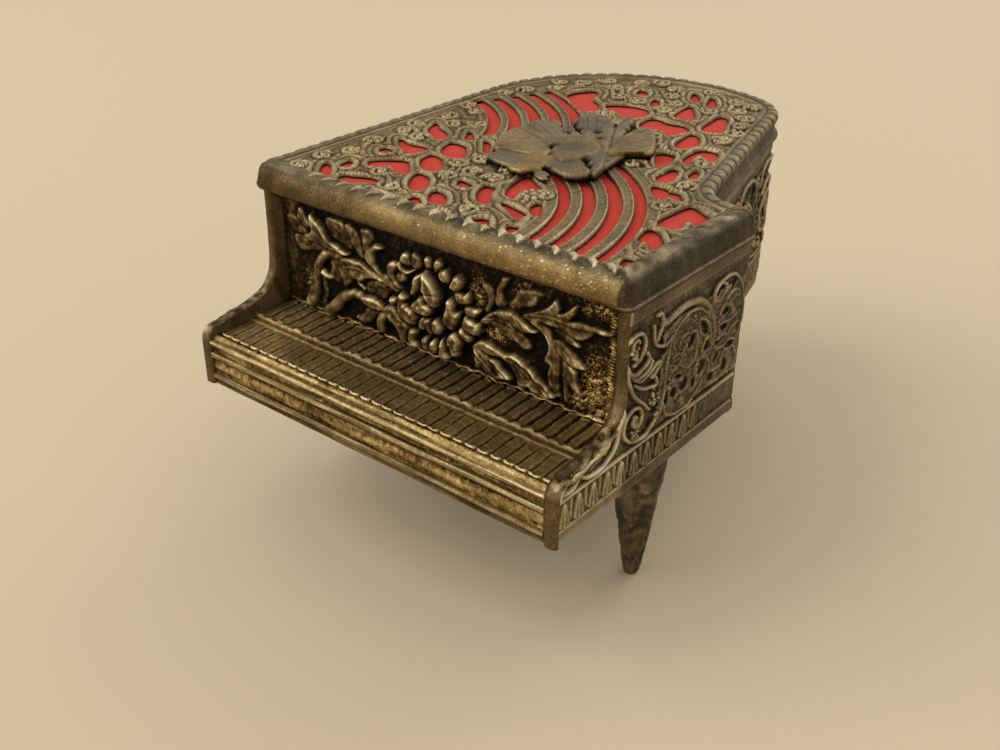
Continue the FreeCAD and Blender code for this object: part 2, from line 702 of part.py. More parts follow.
def make_cylinder():
    x0, x1 = cylinder_ends
    drum = along_x(x0, x1, cylinder_y, cylinder_z, cylinder_radius, 36)
    drum = drum.cut(along_x_bore(x0 - 1, x1 + 1, cylinder_y, cylinder_z, 0.8))
    save_movement("music_cylinder", drum)
    arbor = shaft(Vector(-3.0, cylinder_y, cylinder_z), Vector(1, 0, 0), 0.8, 27.8)
    save_movement("cylinder_arbor", arbor)
    # A pinion tooth hangs straight down between two crown teeth at rest
    module = 2 * pinion_radius / pinion_teeth
    pinion = spur_wheel(pinion_teeth, module, -2.6, -1.0, cylinder_y, cylinder_z, 0.8, 0.0, 0.36)
    save_movement("cylinder_pinion", pinion)
    wheel = spur_wheel(train_wheel_teeth, train_module, 21.0, 22.0, cylinder_y, cylinder_z, 0.8,
                       math.pi / 2 + train_slope, 0.42)
    save_movement("cylinder_wheel", wheel)


def make_governor():
    b0 = bed["thickness"]
    foot = fuse([
        block(17.4, 31.6, 13.6, 20.6, b0, b0 + 1.0),
        block(26.0, 31.6, 8.4, 14.0, b0, b0 + 1.0),
        block(17.4, 20.4, 9.0, 14.0, b0, b0 + 1.0),
    ])
    cheeks = [block(x0, x0 + 0.9, 9.1, train_y + 1.4, b0, train_z + 1.3) for x0 in (18.5, 27.4)]
    arm_z = 23.8
    post = [
        block(30.2, 31.6, worm_y - 1.6, worm_y + 1.6, b0, arm_z + 1.2),
        block(worm_x - 1.6, 31.6, worm_y - 1.6, worm_y + 1.6, arm_z, arm_z + 1.2),
        upright(worm_x, worm_y, b0, b0 + 2.0, 1.6, 10),
        block(stop_wire_spot[0] - 1.1, stop_wire_spot[0] + 1.1, stop_wire_spot[1] - 1.1,
              stop_wire_spot[1] + 1.1, b0, 11.0),
    ]
    bracket = fuse([foot] + cheeks + post)
    holes = [along_x_bore(17, 30, train_y, train_z, 0.54)]
    holes.append(upright_bore(worm_x, worm_y, b0 + 0.8, 30, 0.54))
    holes.append(upright_bore(*stop_wire_spot, b0 + 2, 30, 0.5, 10))
    save_movement("governor_bracket", bracket.cut(holes))

    save_movement("governor_arbor", shaft(Vector(18.2, train_y, train_z), Vector(1, 0, 0), 0.5, 10.6))
    half_tooth = math.pi / train_pinion_teeth
    pinion = spur_wheel(train_pinion_teeth, train_module, 20.9, 22.1, train_y, train_z, 0.5,
                        -math.pi / 2 + train_slope + half_tooth, 0.42)
    save_movement("governor_pinion", pinion)
    wheel = spur_wheel(worm_wheel_teeth, worm_module, worm_x - 0.6, worm_x + 0.6, train_y, train_z, 0.5,
                       math.pi / 2, 0.36)
    save_movement("governor_wheel", wheel)

    # Endless screw: two threads, whose rise per turn is two teeth of the wheel
    rise = worm_starts * math.pi * worm_module
    core = worm_radius - 0.4
    turns = 1.5
    low = train_z - 0.5 * turns * rise
    pieces = [shaft(Vector(worm_x, worm_y, b0 + 0.9), Vector(0, 0, 1), 0.5, 24.8 - b0 - 0.9)]
    pieces.append(upright(worm_x, worm_y, low - 0.4, low + turns * rise + 0.4, core, 12))
    for i in range(worm_starts):
        thread = worm_thread(core - 0.1, worm_radius + 0.32, rise, turns)
        thread.rotate(Vector(0, 0, 0), Vector(0, 0, 1), worm_phase + 360 * i / worm_starts)
        thread.translate(Vector(worm_x, worm_y, low))
        pieces.append(thread)
    save_movement("worm_shaft", fuse(pieces))
    hub = upright(worm_x, worm_y, 18.8, 22.9, 1.1, 10)
    wings = block(worm_x - fly_radius, worm_x + fly_radius, worm_y - 0.25, worm_y + 0.25, 19.2, 22.9)
    fly = fuse([hub, wings])
    save_movement("air_brake_fly", fly.cut(upright_bore(worm_x, worm_y, 10, 30, 0.5)))


def worm_thread(inner, outer, rise, turns):
    # A three-cornered ridge climbing round the core, in straight steps
    steps = 8
    half_width = 0.3
    corners = []
    for i in range(round(turns * steps) + 1):
        a = 2 * math.pi * i / steps
        z = rise * i / steps
        around = Vector(math.cos(a), math.sin(a), 0)
        corners.append([around * inner + Vector(0, 0, z - half_width), around * outer + Vector(0, 0, z),
                        around * inner + Vector(0, 0, z + half_width)])

    def triangle(a, b, c):
        return Part.Face(Part.makePolygon([a, b, c, a]))

    faces = [triangle(*corners[0]), triangle(*corners[-1])]
    for here, there in zip(corners, corners[1:]):
        for k in range(3):
            m = (k + 1) % 3
            faces.append(triangle(here[k], here[m], there[k]))
            faces.append(triangle(here[m], there[m], there[k]))
    thread = Part.Solid(Part.Shell(faces))
    if thread.Volume < 0:
        thread.reverse()
    return thread


def make_stop_wire():
    x, y = stop_wire_spot
    wire_radius = 0.45
    tip_z = lining_top - lining_thickness - base_top - 0.15
    finger_z = 20.6
    finger_end = worm_x - fly_radius - 0.3
    stem = upright(x, y, 6.5, tip_z, wire_radius, 10)
    finger = along_x(x, finger_end, y, finger_z, wire_radius, 10)
    save_movement("stop_wire", fuse([stem, finger]))


def make_movement_screws():
    screws = []
    for x, y in mount_screws:
        screws.append(screw(x, y, -base_thickness, -1, 2.3, 0.9, 1.0, base_thickness + 1.4))
    save_movement("movement_screws", group(screws))


make_walls()
make_front()
make_base()
make_legs()
make_lid()
make_flower()
make_hinges()
make_compartments()
make_bedplate()
make_comb()
make_spring_drive()
make_cylinder()
make_governor()
make_stop_wire()
make_movement_screws()
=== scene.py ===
import math
import bmesh
import bpy
import numpy as np
from mathutils import Matrix, Vector
from mathutils.geometry import delaunay_2d_cdt


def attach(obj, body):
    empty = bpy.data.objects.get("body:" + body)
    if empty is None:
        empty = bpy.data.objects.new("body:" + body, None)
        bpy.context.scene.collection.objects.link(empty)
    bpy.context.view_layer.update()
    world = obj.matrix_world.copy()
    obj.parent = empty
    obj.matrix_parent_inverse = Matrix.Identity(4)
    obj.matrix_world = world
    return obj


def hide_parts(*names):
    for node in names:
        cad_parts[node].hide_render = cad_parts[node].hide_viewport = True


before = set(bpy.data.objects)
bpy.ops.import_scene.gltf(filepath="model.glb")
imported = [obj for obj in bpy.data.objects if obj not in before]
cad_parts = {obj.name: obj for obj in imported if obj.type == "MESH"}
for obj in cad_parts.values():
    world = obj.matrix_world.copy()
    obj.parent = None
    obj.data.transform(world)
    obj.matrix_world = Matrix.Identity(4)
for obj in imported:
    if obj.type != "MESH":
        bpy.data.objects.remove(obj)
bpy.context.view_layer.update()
print("frame loaded:", len(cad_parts), "nodes")

# Shapes are drawn in millimetres in the case's own frame: x = 0 on the centre line,
# y = 0 at the lid's front lower edge, z = 0 on the table.
caseShift = np.array([0.85, -50.0, 0.0])

# the field's inset is one for each side, in the order of the plan's corners
lid = {
    "halfWidth": 47.0, "tailEnd": 118.0, "top": 75.35, "fieldInset": [3.0, 5.2, 3.4, 3.4, 3.4, 3.4, 3.4],
    # corner x, corner y and corner radius, as in the plan of the case
    "plan": [(-47.0, 0.0, 1.4), (47.0, 0.0, 2.5), (47.0, 44.8, 0.8), (35.6, 44.8, 9.0),
             (18.7, 111.0, 17.0), (2.0, 118.0, 38.0), (-47.0, 118.0, 39.4)],
}
# z of the walls' foot and top, x of their inner face, how far the lid passes them, y of the
# front panel's two faces, and x and y of the legs
case = {"foot": 31.6, "wallTop": 69.4, "inner": 43.8, "overhang": 1.08, "panelFront": 5.3, "panelBack": 7.1,
        "legs": {"front_left_leg": (-39.2, 20.5), "front_right_leg": (39.2, 20.5),
                 "rear_leg": (-10.0, 103.0)}}


def srgb(hexText):
    # sRGB to linear, one colour at a time
    parts = [int(hexText[i:i + 2], 16) / 255 for i in (0, 2, 4)]
    linear = [p / 12.92 if p <= 0.04045 else ((p + 0.055) / 1.055) ** 2.4 for p in parts]
    return (*linear, 1.0)


def clamp(value):
    return np.clip(value, 0, 1)


def dome(q):
    # (1 - q^2)^0.5, and 0 past q = 1
    return np.sqrt(clamp(1 - q**2))


def bell(q):
    return np.exp(-q**2)


def wave(turns):
    # from 1 down to 0 and back once a turn
    return 0.5 + 0.5 * np.cos(2 * math.pi * turns)


# Meshes

def addMesh(name, points, faces, body, material, attributes=None, flip=False, close=False):
    # points in millimetres, faces a list of index arrays with three or four columns; close
    # fills open ends and turns the faces outwards
    mesh = bpy.data.meshes.new(name)
    points = (points.reshape(-1, 3) + caseShift) * 0.001
    faces = [f[:, ::-1] if flip else f for f in faces if len(f)]
    corners = np.concatenate([f.ravel() for f in faces]).astype(np.int32)
    sizes = np.concatenate([np.full(len(f), f.shape[1], np.int32) for f in faces])
    mesh.vertices.add(len(points))
    mesh.vertices.foreach_set("co", points.astype(np.float32).ravel())
    mesh.loops.add(len(corners))
    mesh.loops.foreach_set("vertex_index", corners)
    mesh.polygons.add(len(sizes))
    mesh.polygons.foreach_set("loop_start", (np.cumsum(sizes) - sizes).astype(np.int32))
    mesh.polygons.foreach_set("use_smooth", np.ones(len(sizes), bool))
    for key, values in (attributes or {}).items():
        layer = mesh.attributes.new(key, "FLOAT", "POINT")
        layer.data.foreach_set("value", values.astype(np.float32).ravel())
    mesh.update(calc_edges=True)
    mesh.validate()
    if close:
        whole = bmesh.new()
        whole.from_mesh(mesh)
        bmesh.ops.holes_fill(whole, edges=[e for e in whole.edges if e.is_boundary], sides=0)
        bmesh.ops.recalc_face_normals(whole, faces=whole.faces)
        whole.to_mesh(mesh)
        whole.free()
    piece = bpy.data.objects.new(name, mesh)
    bpy.context.scene.collection.objects.link(piece)
    mesh.materials.append(material)
    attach(piece, body)
    return piece


def gridQuads(rows, cols, loopRows=False, loopCols=False):
    # quads between neighbouring points of a rows by cols grid
    r = np.arange(rows if loopRows else rows - 1)
    c = np.arange(cols if loopCols else cols - 1)
    r, c = np.meshgrid(r, c, indexing="ij")
    r1, c1 = (r + 1) % rows, (c + 1) % cols
    return np.stack([r * cols + c, r * cols + c1, r1 * cols + c1, r1 * cols + c], -1).reshape(-1, 4)


def closed(points):
    return np.vstack([points, points[:1]])


def runOf(points):
    # the length run along a line to each of its points
    return np.concatenate([[0], np.cumsum(np.linalg.norm(np.diff(points, axis=0), axis=1))])


def evenly(points, count):
    # the same line with its points spread evenly along it
    points = np.asarray(points, float)
    run = runOf(points)
    at = np.linspace(0, run[-1], count)
    return np.stack([np.interp(at, run, column) for column in points.T], -1)


def smoothCurve(points, perSpan=10):
    # Catmull-Rom curve through the points, the same number of steps on each span
    p = np.asarray(points, float)
    p = np.vstack([2 * p[0] - p[1], p, 2 * p[-1] - p[-2]])
    t = np.linspace(0, 1, perSpan, endpoint=False)[:, None]
    spans = [0.5 * (2 * b + (c - a) * t + (2 * a - 5 * b + 4 * c - d) * t**2
                    + (3 * b - a - 3 * c + d) * t**3) for a, b, c, d in zip(p, p[1:], p[2:], p[3:])]
    return np.vstack(spans + [p[-2:-1]])


def closedLoop(points, perSpan=6):
    # Closed Catmull-Rom curve, the first point repeated at the end
    p = np.asarray(points, float)
    curve = smoothCurve(np.vstack([p[-2:], p, p[:3]]), perSpan)
    return curve[2 * perSpan:(2 + len(p)) * perSpan + 1]


def planPath(inset, spacing):
    # The rounded plan, moved in by inset on every side: points, outward normals, and the
    # place along the sides, where side i counts from i to i + 1
    insets, corners = np.broadcast_to(inset, 7), lid["plan"]
    sides, arcs = [], []
    for i, (x0, y0, _) in enumerate(corners):
        x1, y1, _ = corners[(i + 1) % 7]
        along = np.array([x1 - x0, y1 - y0]) / math.hypot(x1 - x0, y1 - y0)
        sides.append((np.array([x0, y0]) + np.array([-along[1], along[0]]) * insets[i], along))
    for i, (after, v) in enumerate(sides):
        before, u = sides[i - 1]
        turn = u[0] * v[1] - u[1] * v[0]
        gap = after - before
        corner = before + u * (gap[0] * v[1] - gap[1] * v[0]) / turn
        side = 1 if turn > 0 else -1
        radius = max(corners[i][2] - side * (insets[i - 1] + insets[i]) / 2, 0.25)
        half = math.acos(float(u @ v)) / 2
        bisector = (v - u) / np.linalg.norm(v - u)
        arcs.append((corner + bisector * radius / math.cos(half), radius, half, side,
                     (u + v) / np.linalg.norm(u + v), bisector))
    points, normals, place = [], [], []
    for i, (centre, radius, half, side, forward, bisector) in enumerate(arcs):
        n = max(int(2 * half * corners[i][2] / spacing), 5)
        a = np.linspace(-half, half, n + 1)[:, None]
        out = -bisector * np.cos(a) + forward * np.sin(a)
        points.append(centre + out * radius)
        normals.append(out * side)
        place.append(np.full(n + 1, float(i)))
        centre, radius, half, _, forward, bisector = arcs[(i + 1) % 7]
        start = points[-1][-1]
        end = centre + radius * (-bisector * math.cos(half) - forward * math.sin(half))
        n = max(int(math.dist(corners[i][:2], corners[(i + 1) % 7][:2]) / spacing), 2)
        t = np.linspace(0, 1, n + 1)[1:-1, None]
        points.append(start + (end - start) * t)
        normals.append(np.broadcast_to(normals[-1][-1], (n - 1, 2)))
        place.append(i + t[:, 0])
    return np.vstack(points), np.vstack(normals), np.concatenate(place)


# Relief: a grid of heights, and shapes that are raised out of it

def newRelief(x0, x1, y0, y1, step):
    x = np.linspace(x0, x1, int(round((x1 - x0) / step)) + 1)
    y = np.linspace(y0, y1, int(round((y1 - y0) / step)) + 1)
    gridX, gridY = np.meshgrid(x, y)
    relief = {"x": gridX, "y": gridY, "height": np.zeros(gridX.shape), "tone": np.zeros(gridX.shape),
              "step": (x[1] - x[0], y[1] - y[0]), "corner": (x0, y0)}
    return relief, gridX, gridY, relief["height"]


def windowOf(relief, points, reach):
    # the part of the grid within reach of the points
    rows, cols = relief["x"].shape
    (c0, r0), (c1, r1) = [(edge - relief["corner"]) / relief["step"]
                          for edge in (points.min(0) - reach, points.max(0) + reach)]
    c0, r0 = max(int(c0), 0), max(int(r0), 0)
    return slice(r0, max(min(int(r1) + 2, rows), r0)), slice(c0, max(min(int(c1) + 2, cols), c0))


def alongCurve(x, y, curve):
    # For each point: distance to the curve, which side it is on, the length run along
    # the curve to the nearest place, and the curve's whole length
    shape = x.shape
    p = np.stack([x.ravel(), y.ravel()], -1)[:, None, :]
    a, d = curve[:-1], np.diff(curve, axis=0)
    size2 = np.maximum((d**2).sum(-1), 1e-12)
    t = clamp(((p - a) * d).sum(-1) / size2)
    away = p - (a + t[..., None] * d)
    far2 = (away**2).sum(-1)
    k = far2.argmin(1)
    rows = np.arange(len(k))
    lengths = np.sqrt(size2)
    start = np.concatenate([[0], np.cumsum(lengths)[:-1]])
    run = start[k] + t[rows, k] * lengths[k]
    side = np.sign(d[k, 0] * away[rows, k, 1] - d[k, 1] * away[rows, k, 0])
    return np.sqrt(far2[rows, k]).reshape(shape), side.reshape(shape), run.reshape(shape), lengths.sum()


def insideLines(px, py, a, b):
    # Whether each point is inside the closed lines from a to b: an odd number of them to its right
    inside = np.zeros(len(px), bool)
    rise = np.where(b[:, 1] == a[:, 1], 1e-9, b[:, 1] - a[:, 1])
    block = max(4000000 // len(a), 1)
    for start in range(0, len(px), block):
        x, y = px[start:start + block, None], py[start:start + block, None]
        spans = (a[:, 1] > y) != (b[:, 1] > y)
        right = x < a[:, 0] + (y - a[:, 1]) * (b[:, 0] - a[:, 0]) / rise
        inside[start:start + block] = (spans & right).sum(1) % 2
    return inside


def awayFrom(x, y, loop, withRun=False):
    # Signed distance to a closed line, negative inside it, and if asked the length run round it
    distance, length = np.empty(x.size), np.empty(x.size)
    flatX, flatY = x.ravel(), y.ravel()
    block = max(2000000 // len(loop), 1)
    for start in range(0, x.size, block):
        part = slice(start, start + block)
        distance[part], _, length[part], _ = alongCurve(flatX[part], flatY[part], loop)
    inside = insideLines(flatX, flatY, loop[:-1], loop[1:])
    signed = np.where(inside, -distance, distance).reshape(x.shape)
    return (signed, length.reshape(x.shape)) if withRun else signed


def raiseUp(relief, shape, win=..., tone=None):
    # Keeps the higher of the grid and the new shape
    height = relief["height"][win]
    if tone is not None:
        relief["tone"][win] = np.where(shape > height, tone, relief["tone"][win])
    relief["height"][win] = np.maximum(height, shape)


def strand(relief, points, width, height, ribs=0.0, pitch=1.3, taper=(1.0, 1.0), flat=0.5, tone=None):
    # A rounded strand along a curve: height * (1 - (distance / half width)^2)^flat, with
    # notches of depth ribs across it at each pitch
    curve = smoothCurve(points)
    win = windowOf(relief, curve, width)
    d, _, run, total = alongCurve(relief["x"][win], relief["y"][win], curve)
    q = clamp(d / (0.5 * width * (taper[0] + (taper[1] - taper[0]) * run / total)))
    shape = height * (1 - q**2)**flat
    if ribs:
        shape = shape * (1 - ribs * wave(run / pitch)**2 * (0.35 + 0.65 * q))
    raiseUp(relief, np.where(q < 1, shape, 0), win, tone)


def leaf(relief, spine, width, height, teeth):
    # A leaf along its midrib: half width * sin(pi t^0.8), cut back by teeth on each
    # edge, domed across and grooved along the midrib
    curve = smoothCurve(spine)
    win = windowOf(relief, curve, width)
    d, side, run, total = alongCurve(relief["x"][win], relief["y"][win], curve)
    t = clamp(run / total)
    saw = np.mod(t * teeth + 0.25 * side, 1.0)
    edge = np.sin(math.pi * np.clip(t, 0.004, 0.996)**0.8) * (1 - 0.3 * saw**1.5 * (t > 0.12))
    q = d / np.maximum(0.5 * width * edge, 1e-6)
    vein = 0.3 * bell(d / 0.22) + 0.16 * wave(t * teeth * 2 - 0.9 * q)
    shape = height * dome(q)**0.55 * (0.65 + 0.35 * np.sin(math.pi * t)) * (1 - vein)
    raiseUp(relief, np.where(q < 1, shape, 0), win)


def turned(relief, x, y, reach, degrees):
    # the grid near a spot: its window, and how far its points lie along and across a direction
    win = windowOf(relief, np.array([[x, y]]), reach)
    a = math.radians(degrees)
    dx, dy = relief["x"][win] - x, relief["y"][win] - y
    return win, dx * math.cos(a) + dy * math.sin(a), dy * math.cos(a) - dx * math.sin(a)


def bead(relief, x, y, radius, height, tone=None, stretch=1.0, degrees=0.0):
    # A dome: height * (1 - (distance / radius)^2)^0.5
    win, u, v = turned(relief, x, y, radius * stretch, degrees)
    q = np.hypot(u / stretch, v) / radius
    raiseUp(relief, np.where(q < 1, height * dome(q), 0), win, tone)


def hollowOut(relief, x, y, rx, ry, degrees, depth):
    # A dished hollow: lowers the grid by depth * (1 - q^2)^0.7 inside an ellipse
    win, u, v = turned(relief, x, y, max(rx, ry), degrees)
    dish = clamp(1 - (u / rx)**2 - (v / ry)**2)**0.7
    relief["height"][win] = relief["height"][win] * (1 - dish) - depth * dish


def curl(relief, x, y, radius, turns, degrees, hand, width, height, ribs=0.0, pitch=1.1):
    # A strand that winds in from the start angle, hand 1 anticlockwise or -1, round a bead
    t = np.linspace(0, 1, int(9 * turns) + 2)
    r = radius * (1 - 0.88 * t**0.85)
    a = math.radians(degrees) + hand * 2 * math.pi * turns * t
    points = np.stack([x + r * np.cos(a), y + r * np.sin(a)], -1)
    strand(relief, points, width, height, ribs, pitch, (1.0, 0.75))
    bead(relief, x, y, max(width * 0.62, radius * 0.2), height * 1.12)


def blade(relief, outline, height, edge=0.7, midrib=None, veins=None, lean=None, tone=None, cup=0.25,
          grow=0.28):
    # A leaf or petal inside a drawn outline. Its sides rise steeply, (1 - (1 - inside /
    # edge)^2)^0.5, and it sinks by cup from its edges to its midrib, which has a fine ridge;
    # lean is a direction and a slope, veins a direction, pitch and depth
    loop = closedLoop(outline, 4)
    win = windowOf(relief, loop, 0.3)
    x, y = relief["x"][win], relief["y"][win]
    inside = np.maximum(grow - awayFrom(x, y, loop), 0)
    q = clamp(inside / edge)
    shape = height * np.sqrt(1 - (1 - q)**2)
    if midrib is None:
        shape *= 1 - 0.4 * cup * clamp((inside - edge) / 1.2)
    else:
        d = alongCurve(x, y, smoothCurve(midrib))[0]
        shape *= 1 - cup * clamp(1 - d / 1.7)**1.5 * q + 0.22 * bell(d / 0.2) * q
        shape -= 0.12 * wave((x + y) / 1.3) * clamp(d / 1.2) * q
    if lean is not None:
        a = math.radians(lean[0])
        across = (x - loop[:, 0].mean()) * math.cos(a) + (y - loop[:, 1].mean()) * math.sin(a)
        shape *= 1 + lean[1] * np.clip(across / 3.0, -1, 1)
    if veins is not None:
        a = math.radians(veins[0])
        shape -= veins[2] * wave((y * math.cos(a) - x * math.sin(a)) / veins[1]) * (q > 0.5)
    raiseUp(relief, np.where(inside > 0, shape, 0), win, tone)


def soften(values, cells, mode="edge"):
    # Box blur with a window of 2 * cells + 1 down and along the grid, by running sums, twice
    cells = np.broadcast_to(cells, 2)
    for axis in (0, 1, 0, 1):
        reach, at = cells[axis], np.arange(values.shape[axis])
        pad = [(0, 0), (0, 0)]
        pad[axis] = (reach + 1, reach)
        total = np.cumsum(np.pad(values, pad, mode=mode), axis=axis)
        upper = np.take(total, at + 2 * reach + 1, axis=axis)
        values = (upper - np.take(total, at, axis=axis)) / (2 * reach + 1)
    return values


def grain(shape, cells, seed, mode="edge"):
    # Smooth noise from 0 to 1: random values blurred over a few cells and spread out again
    noise = soften(np.random.default_rng(seed).random(shape), cells, mode)
    return clamp((noise - noise.mean()) / (noise.std() * 4) + 0.5)


def ridged(shape, cells, seed):
    # Veins and pits as on a worn casting: 1 - |2n - 1| of smooth noise, in two sizes
    coarse, fine = (1 - np.abs(2 * grain(shape, size, seed + k) - 1)
                    for k, size in enumerate((cells, max(cells // 2, 1))))
    return coarse**2 * 0.6 + fine**2 * 0.4


def crestOf(relief, reach, brim=False):
    # How far each point stands above its surroundings, near (0.45 mm) and farther off, plus painted light
    # and mottle
    height, step = relief["height"], relief["step"][0]
    near, far = (height - soften(height, max(int(size / step), 1)) for size in (0.45, reach))
    crest = np.tanh((1.5 * near + 0.6 * far) * min(1.2 / reach, 1))
    return np.where(brim, 0, crest) + relief.get("shine", 0.0)


def above(level):
    # puts a relief's heights over a level
    return lambda x, y, up: np.stack([x, y, level + up], -1)


def reliefPiece(name, relief, level, place, back, body, material, flip=False, edge=(-0.5, 0.0), reach=1.2,
                brim=None):
    # The grid where level is above 0, with its edge points moved on to the line level = 0,
    # side walls down to the back and a flat back: one closed mesh
    x, y, height = relief["x"], relief["y"], relief["height"]
    stepX, stepY = relief["step"]
    gy, gx = np.gradient(level, stepY, stepX)
    size2 = np.maximum(gx**2 + gy**2, 0.05)
    near = np.abs(level) < 0.75 * max(stepX, stepY)
    if brim is not None:
        height = np.where(near, brim, height)
    x = np.where(near, x - np.clip(level * gx / size2, -0.7 * stepX, 0.7 * stepX), x).ravel()
    y = np.where(near, y - np.clip(level * gy / size2, -0.7 * stepY, 0.7 * stepY), y).ravel()
    good = (level > 0) | near
    keep = good[:-1, :-1] & good[1:, :-1] & good[:-1, 1:] & good[1:, 1:]
    middle = (level[:-1, :-1] + level[1:, :-1] + level[:-1, 1:] + level[1:, 1:]) / 4
    keep &= middle > 0.1 * min(stepX, stepY)
    # a cell with no neighbour above and below, or on its left and right, is dropped
    k = np.pad(keep, 1)
    keep &= (k[:-2, 1:-1] | k[2:, 1:-1]) & (k[1:-1, :-2] | k[1:-1, 2:])
    k = np.pad(keep, 1)
    count = level.size
    index = np.arange(count).reshape(level.shape)
    a, b, c, d = index[:-1, :-1], index[:-1, 1:], index[1:, 1:], index[1:, :-1]
    quads = np.stack([a, b, c, d], -1)[keep]
    beside = (k[:-2, 1:-1], k[1:-1, 2:], k[2:, 1:-1], k[1:-1, :-2])
    edges = np.concatenate([np.stack(pair, -1)[keep & ~other]
                            for pair, other in zip(((a, b), (b, c), (c, d), (d, a)), beside)])
    used, rim = np.unique(quads), np.unique(edges)
    remap, local = np.full(count, -1), np.full(count, -1)
    remap[used], local[rim] = np.arange(len(used)), np.arange(len(rim))
    backZ = back.ravel() if np.ndim(back) else np.full(count, float(back))
    front = place(x[used], y[used], height.ravel()[used])
    behind = place(x[rim], y[rim], backZ[rim])
    lower = len(used) + local
    walls = np.stack([remap[edges[:, 1]], remap[edges[:, 0]], lower[edges[:, 0]], lower[edges[:, 1]]], -1)
    # the back: triangles between the edge points, kept where they are inside the edges
    points = [Vector(spot) for spot in zip(x[rim], y[rim])]
    found = delaunay_2d_cdt(points, [tuple(e) for e in local[edges].tolist()], [], 0, 1e-6)
    triangles = np.array([f for f in found[2] if len(f) == 3], int)
    centre = np.array([tuple(v) for v in found[0]])[triangles].mean(1)
    source = np.array([o[0] if o else -1 for o in found[3]])[triangles]
    flat = np.stack([x, y], -1)
    inside = insideLines(centre[:, 0], centre[:, 1], flat[edges[:, 0]], flat[edges[:, 1]])
    triangles = source[inside & (source >= 0).all(1)] + len(used)
    # the walls and back take edge's crest and tone; the default crest of -0.5 paints the walls dark, as
    # shade
    crest = relief["crest"] if "crest" in relief else crestOf(relief, reach, near)
    attributes = {key: np.concatenate([values.ravel()[used], np.full(len(rim), value)])
                  for key, values, value in (("crest", crest, edge[0]), ("tone", relief["tone"], edge[1]))}
    return addMesh(name, np.vstack([front, behind]), [remap[quads], walls, triangles[:, ::-1]], body,
                   material, attributes, flip)


# Materials

def addNode(tree, kind, settings=None, links=None):
    # a link comes from a socket, or from a node's first output
    node = tree.nodes.new("ShaderNode" + kind)
    for key, value in (settings or {}).items():
        if isinstance(key, int) or key in node.inputs:
            node.inputs[key].default_value = value
        else:
            setattr(node, key, value)
    for key, source in (links or {}).items():
        tree.links.new(source.outputs[0] if hasattr(source, "outputs") else source, node.inputs[key])
    return node


def newMaterial(name):
    material = bpy.data.materials.new(name)
    material.use_nodes = True
    material.node_tree.nodes.clear()
    return material, material.node_tree


def inMillimetres(tree):
    # Object coordinates in millimetres, ready as a link
    place = addNode(tree, "TexCoord").outputs["Object"]
    return {"Vector": addNode(tree, "Mapping", {"Scale": (1000.0,) * 3}, {"Vector": place})}


def finishWith(tree, settings, links):
    shader = addNode(tree, "BsdfPrincipled", settings, links)
    addNode(tree, "OutputMaterial", None, {"Surface": shader})


def colourRamp(tree, level, stops):
    ramp = addNode(tree, "ValToRGB", None, {"Fac": level})
    elements, stops = ramp.color_ramp.elements, list(stops)
    while len(elements) < len(stops):
        elements.new(0.5)
    for element, (place, colour) in zip(elements, stops):
        element.position, element.color = place, srgb(colour)
    return ramp


def castFinish(name, look):
    # Old cast metal: dark in the hollows, rubbed bright on the crests, with patches of
    # tarnish about 12 mm wide and a sandy skin of 0.3 mm grains
    material, tree = newMaterial(name)
    at = inMillimetres(tree)
    source = {
        "patches": addNode(tree, "TexNoise", {"Scale": 0.085, "Detail": 5.0, "Roughness": 0.62}, at),
        "pits": addNode(tree, "TexNoise", {"Scale": 0.55, "Detail": 4.0, "Roughness": 0.7}, at),
        "sand": addNode(tree, "TexNoise", {"Scale": 3.4, "Detail": 3.0, "Roughness": 0.75}, at),
    }
    crest = addNode(tree, "Attribute", {"attribute_name": "crest"})
    tone = addNode(tree, "Attribute", {"attribute_name": "tone"})
    # brightness from 0 to 1: the crest and the three patterns, each times its share
    level = addNode(tree, "Math", {"operation": "MULTIPLY_ADD", 1: look["crest"], 2: look["level"]},
                    {0: crest.outputs["Fac"]})
    for key, pattern in source.items():
        settings = {"operation": "MULTIPLY_ADD", 1: look[key], "use_clamp": key == "sand"}
        level = addNode(tree, "Math", settings, {0: pattern, 2: level})
    colour = addNode(tree, "Mix", {"data_type": "RGBA"},
                     {0: tone.outputs["Fac"], 6: colourRamp(tree, level, look["colours"]),
                      7: colourRamp(tree, level, look["gold"])})
    rough = addNode(tree, "MapRange", {"From Min": 0.1, "From Max": 0.9, "To Min": look["dull"],
                                       "To Max": look["rubbed"]}, {"Value": level})
    metal = addNode(tree, "MapRange", {"From Min": 0.05, "From Max": 0.45, "To Min": 0.85, "To Max": 1.0},
                    {"Value": level})
    fine = addNode(tree, "Bump", {"Strength": look["bump"], "Distance": 0.0001}, {"Height": source["sand"]})
    bump = addNode(tree, "Bump", {"Strength": look["bump"] * 0.5, "Distance": 0.00015},
                   {"Height": source["pits"], "Normal": fine})
    finishWith(tree, None, {"Base Color": colour.outputs[2], "Roughness": rough, "Metallic": metal,
                            "Normal": bump})
    return material


def feltFinish(name, colours):
    # Pressed wool felt: matt, with soft fibre clumps about 0.5 mm wide and a faint nap
    material, tree = newMaterial(name)
    at = inMillimetres(tree)
    clumps = addNode(tree, "TexNoise", {"Scale": 1.1, "Detail": 5.0, "Roughness": 0.75}, at)
    fibres = addNode(tree, "TexNoise", {"Scale": 4.0, "Detail": 3.0, "Distortion": 1.5}, at)
    both = addNode(tree, "Math", {"operation": "MULTIPLY_ADD", 1: 0.5, 2: -0.05}, {0: clumps})
    both = addNode(tree, "Math", {"operation": "MULTIPLY_ADD", 1: 0.5}, {0: fibres, 2: both})
    bump = addNode(tree, "Bump", {"Strength": 0.6, "Distance": 0.0003}, {"Height": both})
    finishWith(tree, {"Roughness": 0.95, "Sheen Weight": 0.08, "Sheen Roughness": 0.5},
               {"Base Color": colourRamp(tree, both, colours), "Normal": bump})
    return material


